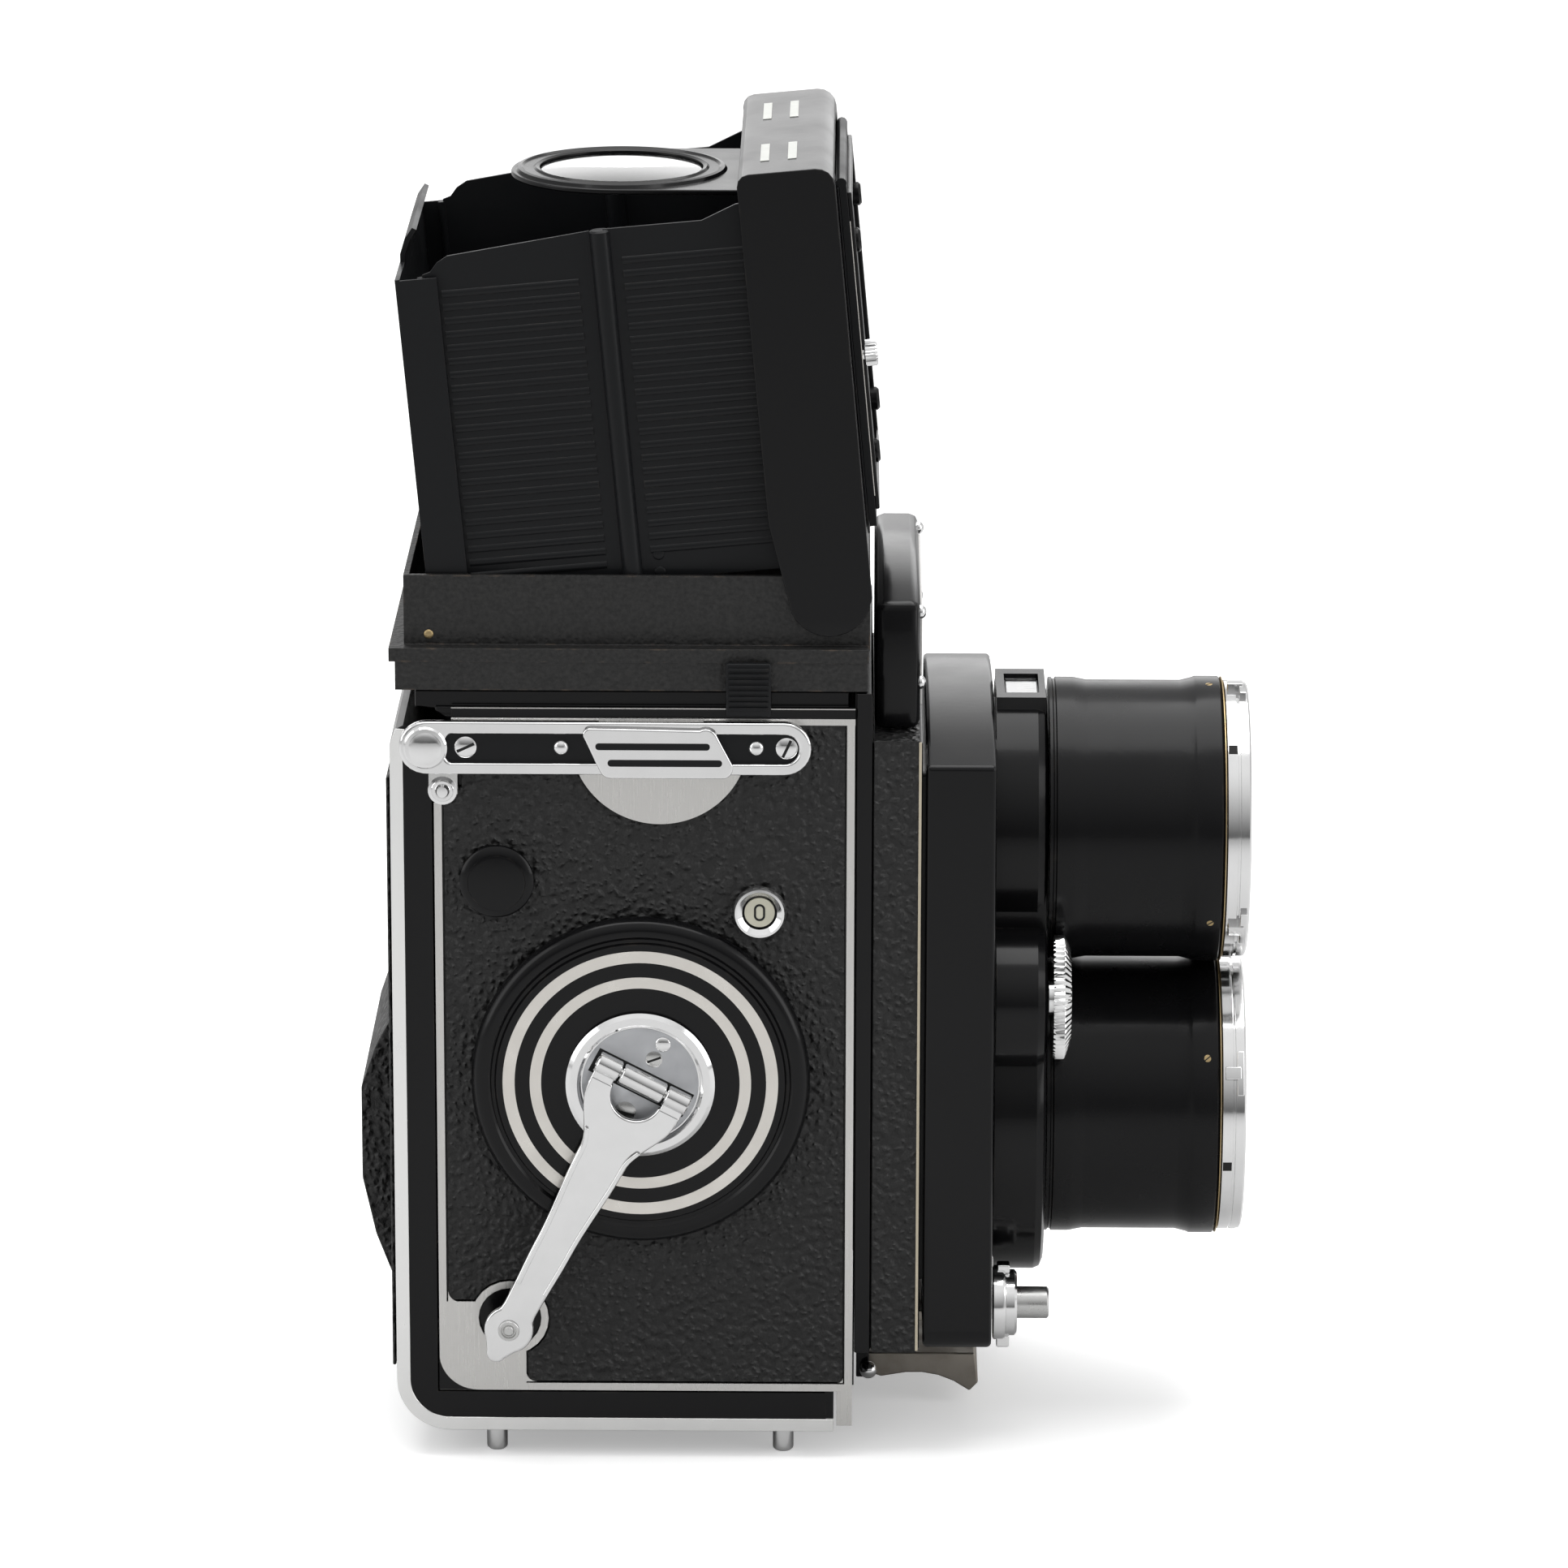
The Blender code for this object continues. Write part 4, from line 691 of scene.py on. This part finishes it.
def lens(name, z, first_lug, screws):
    """One lens; its lugs and set screws stand at angles counted from the focus knob's side."""
    place = ahead(0, z, TUBE_Y)
    tube = lathe(name + "_tube_fine", tube_profile(), place, "front", TUBE_BLACK, 160, True)
    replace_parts(tube, name + "_tube")
    hairline = [(24.1, 29.38), (24.1, 29.22), (22.5, 29.22), (22.5, 29.38)]
    lathe(name + "_joint_line", hairline, place, "front", BRASS, 120, True)
    front = ahead(0, z, BAYONET_Y)
    ring = [(20.8, 4.1), (22.9, 4.1), (23.4, 3.8), (23.4, 2.4), (23.1, 2.3), (23.1, 2.0), (23.5, 1.9),
            (23.5, 0.2), (23.2, 0.02), (20.8, 0.02), (20.8, 1.6), (21.5, 1.8), (21.5, 2.9), (20.8, 3.0)]
    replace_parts(lathe(name + "_bayonet_fine", ring, front, "front", CHROME, 160, True),
                name + "_bayonet")
    for i in range(3):
        start = first_lug + 120 * i
        for tag, spread, low, high, reach in (("lug", 9, 2.5, 3.7, 24.4), ("stop", 2.5, 0.5, 3.2, 24.7)):
            sector = arc(0, 0, reach, start - spread, start + spread, 10)
            sector += arc(0, 0, 23.0, start + spread, start - spread, 10)
            prism(f"{name}_{tag}_{i}", sector, low, high, front, "front", CHROME, 0.18)
        # Three thin matt black sectors on the ring: painted shade in its notches.
        notch = arc(0, 0, 23.56, start + 38, start + 42, 4) + arc(0, 0, 23.0, start + 42, start + 38, 4)
        prism(f"{name}_notch_shade_{i}", notch, 0.3, 1.8, front, "front", MATT_BLACK, 0)
    name_ring = [(16.3, 22.6), (19.9, 24.4), (19.9, 22.4), (19.0, 21.6), (16.3, 21.6)]
    lathe(name + "_name_ring", name_ring, place, "front", SATIN_BLACK, 120, True)
    for i in range(24):
        turn = place @ Matrix.Rotation(math.radians(15 * i), 4, "Z") @ Matrix.Translation((18.1, 0, 23.5))
        turn = turn @ Matrix.Rotation(math.radians(-26.6), 4, "Y")
        block(f"{name}_mark_{i:02d}", (-0.45, -0.09, -0.06), (0.45, 0.09, 0.05), turn, "front",
              WHITE_MARK, 0)
    retainer = [(15.2, 22.9), (16.2, 22.7), (16.2, 20.2), (15.2, 20.2)]
    lathe(name + "_retainer", retainer, place, "front", CHROME_DULL, 120, True)
    ball, rim, rim_height = 42.0, 15.1, 20.2
    edge = math.asin(rim / ball)
    curve = [(ball * math.sin(t), rim_height + ball * math.cos(t) - ball * math.cos(edge))
             for t in (edge * i / 14 for i in range(15))]
    front_glass = lathe(name + "_lens_front", curve + [(rim, 18.4), (0, 17.6)], place, "front",
                        LENS_GLASS, 120)
    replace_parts(front_glass, name + "_lens")
    barrel = [(15.4, 18.0), (19.9, 21.2), (19.9, 20.8), (15.9, 3.4), (8.6, 3.4), (8.6, 4.2), (14.6, 4.4)]
    lathe(name + "_inner_barrel", barrel, place, "front", MATT_BLACK, 96, True)
    iris = [(5.2, 9.2), (14.6, 8.6), (14.6, 8.3), (5.2, 8.9)]
    lathe(name + "_iris", iris, place, "front", IRIS, 10, True)
    rear = [(0, 7.6), (4.0, 7.3), (8.2, 6.0), (8.2, 4.0), (0, 3.5)]
    lathe(name + "_lens_rear", rear, place, "front", LENS_GLASS, 72)
    for i, angle in enumerate(screws):
        spin = place @ Matrix.Rotation(math.radians(angle), 4, "Z") @ Matrix.Translation((24.15, 0, 27.0))
        spin = spin @ Matrix.Rotation(math.radians(90), 4, "Y")
        screw(f"{name}_set_screw_{i}", spin, 0.75, "front", BRASS, 0.06, 40)


def setting_wheel(name, x, who):
    place = ahead(x, WHEEL_Z, WHEEL_Y)
    wheel = [(0, 3.9), (8.4, 3.9), (8.9, 3.7), (10.3, 2.9), (10.4, 2.7), (10.4, 1.3), (10.1, 0.95), (3, 0.9),
             (3, 0.3), (0, 0.3)]
    made = lathe(name + "_fine", wheel, place, who, CHROME, flute=(56, 0.38, 1.0, 3.8))
    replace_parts(made, name)
    disc = [(0, 4.0), (5.6, 4.0), (5.8, 3.85), (0, 3.85)]
    lathe(name + "_disc", disc, place, who, BRUSHED, 72)


def release_and_socket():
    """Shutter release in its turning collar, and the flash socket across from it."""
    place = ahead(-26, 24, STANDARD_Y)
    collar = [(3.0, 4.4), (5.1, 4.4), (5.6, 4.0), (5.6, 2.6), (6.1, 2.4), (6.3, 2.0), (6.3, 0.5), (5.9, 0.3),
              (3.0, 0.3)]
    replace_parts(lathe("collar_fine", collar, place, "release_collar", CHROME, 96, True),
                "release_collar")
    for tag, low, high in (("low", -7.7, -5.5), ("high", 5.5, 7.0)):
        block("collar_tab_" + tag, (-1.3, low, 1.0), (1.3, high, 3.2), place, "release_collar",
              CHROME, 0.3)
    block("collar_mark", (-0.2, 3.6, 4.38), (0.2, 5.0, 4.46), place, "release_collar", RED_MARK, 0)
    button = [(0, 9.5), (1.1, 9.6), (1.9, 9.8), (2.4, 9.8), (2.7, 9.5), (2.7, 3.2), (0, 3.2)]
    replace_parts(lathe("button_fine", button, place, "release_button", CHROME_DULL, 72),
                "release_button")
    socket = [(1.6, 2.2), (2.1, 2.9), (4.1, 2.9), (4.6, 2.4), (4.6, 0.3), (1.6, 0.3)]
    place = ahead(26, 24, STANDARD_Y)
    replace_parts(lathe("socket_fine", socket, place, "front", CHROME, 72, True), "flash_socket")
    lathe("socket_core", [(0, 1.6), (0.7, 1.5), (0.7, 0.2), (0, 0.2)], place, "front", BRASS, 24)


def panel_details():
    """Small window over the viewing lens and the panel's screws."""
    block("window_glass", (-5.9, -66.1, 124.45), (5.9, -60.9, 124.9), WORLD, "front",
          CLEAR_GLASS, 0.06)
    block("window_card", (-6.1, -66.3, 124.36), (6.1, -60.7, 124.44), WORLD, "front", GREY, 0)
    for i in range(9):
        x, end = -5.0 + 1.25 * i, -63.8 if i % 2 else -62.9
        block(f"window_tick_{i}", (x - 0.1, -65.4, 124.43), (x + 0.1, end, 124.47), WORLD, "front",
              WHITE_MARK, 0)
    screw("window_screw", near(-63.4, 121.6, 9.5), 1.0, "front", SATIN_BLACK, 0.25, 35)
    for i, (x, z) in enumerate(((-18, 119.5), (18, 119.5), (-33.5, 34), (33.5, 34))):
        screw(f"panel_screw_{i}", ahead(x, z, STANDARD_Y), 1.25, "front", CHROME_DULL, 0.25, 30 + 35 * i)


def meter():
    """Ribbed diffuser of the light meter in its frame, guessed."""
    window = rectangle(-25, 25, 130.2, 143.6)
    outer = rectangle(-26.4, 26.4, 128.8, 145.0)
    place = ahead(0, 0, METER_Y)
    emit("meter_window_frame", frame_bm(outer, window, -0.2, 0.35), place, "camera", BRUSHED, 0.12)
    bm = bmesh.new()
    for i in range(25):
        x = -24 + 2 * i
        ridge = [(x - 1.0, 0.02), (x - 0.7, 0.16), (x, 0.24), (x + 0.7, 0.16), (x + 1.0, 0.02), (x + 1, -0.1),
                 (x - 1, -0.1)]
        prism_bm(ridge, 130.3, 143.5, bm)
    turn = place @ axes((1, 0, 0), (0, 0, 1), (0, 1, 0), (0, 0, 0))
    emit("meter_cell", bm, turn, "camera", METER_DIFFUSER)
    for i, (x, z) in enumerate(((-29.3, 145.4), (-29.3, 133.4), (29.3, 145.4), (29.3, 133.4))):
        rivet(f"meter_rivet_{i}", ahead(x, z, METER_Y), 1.15, "camera", CHROME, 1.0)


def latch():
    """Lever of the back door's latch, the serrated plate beside it and two bright stops."""
    refine("latch_lever", STEEL, 0.35, 4)
    block("latch_plate", (-12, -55.0, 15.4), (6, -39.4, 17.4), WORLD, "camera", STEEL, 0.3)
    for i in range(6):
        y = -54.6 + 0.75 * i
        block(f"latch_serration_{i}", (-12.1, y, 15.2), (6.1, y + 0.4, 17.5), WORLD, "camera",
              STEEL, 0.1)
    ball = [(1.5 * math.sin(math.pi * i / 16), 1.5 * math.cos(math.pi * i / 16)) for i in range(17)]
    for i, x in enumerate((-14.2, 14.2)):
        lathe(f"latch_ball_{i}", ball, Matrix.Translation((x, -38.2, 7.4)), "camera", CHROME, 32)


# ------------------------------------------------------------------ hood

def hood_base():
    """Fixed rim of the hood, its two ribbed releases and the grid on the ground glass."""
    refine("hood_base", CRACKLE, 0.4, 3)
    refine("hood_release_near hood_release_far", SATIN_BLACK, 0.0)
    for side, place in (("near", near(-17.9, 0, 38.9)), ("far", far(-17.9, 0, 38.9))):
        who = f"hood_release_{side}"
        for i in range(8):
            z = 131.0 + 0.95 * i
            block(f"release_rib_{side}_{i}", (-3.3, z, -0.05), (3.3, z + 0.5, 0.35), place, who,
                  SATIN_BLACK, 0.12)
    rivet("hood_rivet_near", near(34.7, 142.6, 34.6), 0.8, "camera", BRASS, 0.35)
    rivet("hood_rivet_far", far(34.7, 142.6, 34.6), 0.8, "camera", BRASS, 0.35)
    for i in range(-2, 3):
        for name, low, high in (("along", (9 * i - 0.06, -30, 132.6), (9 * i + 0.06, 24, 132.66)),
                                ("across", (-28, 9 * i - 3.06, 132.6), (28, 9 * i - 2.94, 132.66))):
            block(f"screen_line_{name}_{i + 2}", low, high, WORLD, "camera", MATT_BLACK, 0)


def lid():
    """Front lid of the hood with its four marks and the hinged finder flap."""
    refine("hood_lid", ENAMEL, 0.35, 4, 25)
    refine("finder_flap", SATIN_BLACK, 0.3)
    for i, (x, v) in enumerate(((-18.5, 4.3), (-18.5, -0.2), (18.5, 4.3), (18.5, -0.2))):
        block(f"lid_mark_{i}", (x - 7.2, v - 0.72, 70.9), (x + 7.2, v + 0.72, 71.12), LID, "camera",
              LID_MARK, 0.04)
    border = frame_bm(rectangle(-25.4, 25.4, 11.4, 64.6), rectangle(-22.9, 22.9, 13.8, 62.2), -0.1, 0.7)
    boss = [(0, 1.5), (1.6, 1.5), (2.0, 1.1), (2.0, -0.1), (0, -0.1)]
    plate, who = LID @ Matrix.Translation((0, -8.6, 0)) @ ahead(0, 0, 0), "finder_flap"
    block("flap_lip", (-27.9, 8.1, -1.53), (27.9, 66.0, -1.27), plate, who, SATIN_BLACK, 0.05)
    emit("flap_border", border, plate, who, ENAMEL, 0.25)
    for side in (-1, 1):
        x = side * 26.4
        block(f"flap_edge_{side + 1}", (x - 0.25, 14, 0.0), (x + 0.25, 60, 0.14), plate, who,
              SILVER_LINE, 0.04)
        for name, u in (("upper", 55.5), ("lower", 20.0)):
            spot = plate @ Matrix.Translation((side * 19.5, u, 0))
            lathe(f"flap_boss_{name}_{side + 1}", boss, spot, who, ENAMEL, 40)
    knob = [(0, 2.6), (1.9, 2.6), (2.2, 2.3), (2.2, 0.6), (1.5, 0.4), (1.5, -0.1), (0, -0.1)]
    spot = plate @ Matrix.Translation((-24.1, 37.5, 0))
    lathe("flap_knob", knob, spot, who, CHROME, flute=(22, 0.25, 0.5, 2.45))


def ribs(name, place, start, end, low, high, count, outward, who):
    """Pressed horizontal ribs over one leaf of a side wall, in (v, u), standing out of its face."""
    bm = bmesh.new()
    pitch = (high - low) / (count - 1)
    for i in range(count):
        u = low + pitch * i
        section = [(u - 0.62, 0.0), (u - 0.45, 0.19), (u, 0.3), (u + 0.45, 0.19), (u + 0.62, 0.0), (u, -0.1)]
        face = [[bm.verts.new((outward * (LEAF_X + h), v, up)) for up, h in section] for v in (start, end)]
        bm.faces.new(face[0])
        bm.faces.new(face[1][::-1])
        for j in range(len(section)):
            k = (j + 1) % len(section)
            bm.faces.new((face[0][j], face[1][j], face[1][k], face[0][k]))
    emit(name, bm, place, who, SATIN_BLACK, 0, angle=60)


def hood_walls():
    """Two folding leaves a side with ribs, a roll over their hinge and two studs; the rear wall."""
    roll = [(0, 63.3), (1.4, 63.3), (1.7, 63.0), (1.7, 5.0), (1.4, 4.7), (0, 4.7)]
    for side, make, sign in (("near", near, -1), ("far", far, 1)):
        front, rear = side + "_front", side + "_rear"
        refine(f"wall_{front} wall_{rear}", SATIN_BLACK, 0.1, 2)
        ribs("ribs_" + front, LID, 6.2, 28.6, 9.5, 58.0, 23, sign, front)
        ribs("ribs_" + rear, LID, 36.0, 58.4, 7.6, 55.0, 22, sign, rear)
        spot = LID @ Matrix.Translation((sign * 31.8, 31.9, 0))
        lathe(f"wall_roll_{side}", roll, spot, front, SATIN_BLACK, 32)
        for i, u in enumerate((8.6, 5.6)):
            spot = LID @ Matrix.Translation((sign * LEAF_X, 27.4, u)) @ make(0, 0, 0)
            rivet(f"wall_stud_{side}_{i}", spot, 0.95, front, SATIN_BLACK, 0.26)
    refine("wall_back", SATIN_BLACK, 0.18, 3, 25)


def tongued_disc(radius, back, centre, count=120):
    """A round plate with a straight tongue of the same width that runs back to its hinge."""
    points = []
    for i in range(count):
        a = math.tau * i / count
        c, s = math.cos(a), math.sin(a)
        reach = radius if s >= 0 else min(radius / max(abs(c), 1e-6), back / abs(s))
        points.append((reach * c, centre + reach * s))
    return points


def magnifier():
    """Folding magnifier: thin plate, turned rim, root at the lid and its glass."""
    centre, hinge, low, who = 3.8, -28.15, 212.75, "magnifier"
    outer = tongued_disc(18.3, centre - hinge - 2.2, centre)
    hole = [(13.7 * math.cos(math.tau * i / 120), centre + 13.7 * math.sin(math.tau * i / 120))
            for i in range(120)]
    plate = frame_bm(outer, hole, low, low + 0.9)
    plate = emit("magnifier_plate", plate, WORLD, who, ENAMEL, 0.28)
    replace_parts(plate, "magnifier_frame")
    middle = Matrix.Translation((0, centre, low))
    rim = [(13.6, 0.3), (13.6, 1.3), (14.2, 1.5), (14.6, 1.2), (16.2, 1.2), (16.6, 1.5), (17.2, 1.4),
           (17.6, 0.9), (17.6, 0.5)]
    lathe("magnifier_rim_fine", rim, middle, who, ENAMEL, 128, True)
    block("magnifier_root_fine", (-15, -28.0, low - 0.05), (15, -25.0, low + 1.15), WORLD, who,
          ENAMEL, 0.25)
    roll = [(0, 15), (0.9, 15), (1.0, 14.8), (1.0, -14.8), (0.9, -15), (0, -15)]
    pivot = LID @ Matrix.Translation((0, -3.0, 64.0))
    lathe("magnifier_roll", roll, across(pivot), who, SATIN_BLACK, 32)
    dome = [(13.3 * i / 10, 1.75 - 0.85 * (i / 10) ** 2) for i in range(11)]
    glass_piece = lathe("magnifier_glass", dome + [(13.3, 0.35), (0, 0.15)], middle, who,
                        CLEAR_GLASS, 96)
    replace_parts(glass_piece, "magnifier_lens")


# ------------------------------------------------------------------ stage

def seen_or(tree, lit, seen):
    """One value for light and reflections, another for how the backdrop itself looks."""
    mix = node(tree, "ShaderNodeMix", {"A": 0.0, "B": seen}, data_type="FLOAT")
    if isinstance(lit, float):
        mix.inputs["A"].default_value = lit
    else:
        tree.links.new(lit, mix.inputs["A"])
    tree.links.new(node(tree, "ShaderNodeLightPath").outputs["Is Camera Ray"], mix.inputs["Factor"])
    return mix.outputs["Result"]


def stage():
    """A pale floor that gives off a little light of its own."""
    bm = bmesh.new()
    bmesh.ops.create_grid(bm, x_segments=1, y_segments=1, size=6)
    mesh = bpy.data.meshes.new("floor")
    bm.to_mesh(mesh)
    bm.free()
    mat, tree, shader = new_material("pale_floor")
    mixed = mix_colour(tree, seen_or(tree, 0.0, 1.0), (0.57, 0.57, 0.57), (0.9, 0.9, 0.9))
    tree.links.new(mixed.outputs["Result"], shader.inputs["Base Color"])
    shader.inputs["Roughness"].default_value = 0.6
    shader.inputs["Specular IOR Level"].default_value = 0.1
    tree.links.new(seen_or(tree, 0.02, 0.36), shader.inputs["Emission Strength"])
    shader.inputs["Emission Color"].default_value = (1, 1, 1, 1)
    mesh.materials.append(mat)
    floor = bpy.data.objects.new("floor", mesh)
    bpy.context.scene.collection.objects.link(floor)


def larger(tree, first, second):
    made = node(tree, "ShaderNodeMath", operation="MAXIMUM")
    tree.links.new(first, made.inputs[0])
    tree.links.new(second, made.inputs[1])
    return made.outputs[0]


def room():
    """Soft studio: bright overhead, at both ends and behind the object, dim from the camera's side."""
    world = bpy.data.worlds.new("studio")
    bpy.context.scene.world = world
    world.use_nodes = True
    tree = world.node_tree
    background = tree.nodes["Background"]
    split = node(tree, "ShaderNodeSeparateXYZ")
    tree.links.new(node(tree, "ShaderNodeTexCoord").outputs["Generated"], split.inputs["Vector"])
    height = ramp(tree, split.outputs["Z"], -0.1, 0.8, 0.0, 0.9)
    sideways = node(tree, "ShaderNodeMath", operation="ABSOLUTE")
    tree.links.new(split.outputs["Y"], sideways.inputs[0])
    ends = ramp(tree, sideways.outputs[0], 0.35, 0.95, 0.07, 0.9)
    backdrop = ramp(tree, split.outputs["X"], 0.82, 0.96, 0.0, 1.5)
    level = larger(tree, larger(tree, height, ends), backdrop)
    tree.links.new(seen_or(tree, level, 1.0), background.inputs["Strength"])
    background.inputs["Color"].default_value = (1, 1, 1, 1)


def area(name, at, target, size, power):
    """Rectangular lamp turned to face its target; places and sizes in metres."""
    data = bpy.data.lights.new(name, "AREA")
    data.shape = "RECTANGLE"
    data.size, data.size_y = size
    data.energy = power
    lamp = bpy.data.objects.new(name, data)
    bpy.context.scene.collection.objects.link(lamp)
    lamp.location = at
    lamp.rotation_euler = (Vector(target) - Vector(at)).to_track_quat("-Z", "Y").to_euler()


def lights():
    middle = (0, 0, 0.11)
    area("overhead", (0.15, 0.0, 0.95), middle, (0.9, 0.9), 7.5)
    area("front_side", (-0.35, -0.9, 0.45), middle, (0.5, 0.8), 2.2)
    area("rear_side", (-0.3, 0.9, 0.5), middle, (0.5, 0.8), 1.6)


def camera():
    """The photograph's view, as fitted to it: nearly level with the crank side."""
    pitch, yaw, roll = math.radians(15.6), math.radians(0.52), math.radians(0.125)
    forward = Vector((math.cos(pitch) * math.cos(yaw), math.cos(pitch) * math.sin(yaw), -math.sin(pitch)))
    right = forward.cross(Vector((0, 0, 1))).normalized()
    up = right.cross(forward)
    tilted = right * math.cos(roll) + up * math.sin(roll)
    upright = up * math.cos(roll) - right * math.sin(roll)
    place = SHIFT + Vector((-1234.3, -34.6, 452.3)) * MM
    data = bpy.data.cameras.new("camera_view")
    data.sensor_width = 36
    data.lens = 173.3
    data.clip_end = 50
    view = bpy.data.objects.new("camera_view", data)
    bpy.context.scene.collection.objects.link(view)
    turn = Matrix((tilted, upright, -forward)).transposed().to_4x4()
    view.matrix_world = Matrix.Translation(place) @ turn
    bpy.context.scene.camera = view


camera()
stage()
room()
lights()
body()
door_rims()
trim_corners()
strap_bars()
counter_and_cap()
crank()
far_side()
lens("viewing", VIEWING_Z, 95, (211, 95))
lens("taking", TAKING_Z, 35, (149, 40))
setting_wheel("shutter_speed_wheel", -WHEEL_X, "shutter_wheel")
setting_wheel("aperture_wheel", WHEEL_X, "aperture_wheel")
release_and_socket()
panel_details()
meter()
latch()
hood_base()
lid()
hood_walls()
magnifier()
bpy.context.scene.view_settings.view_transform = "Standard"
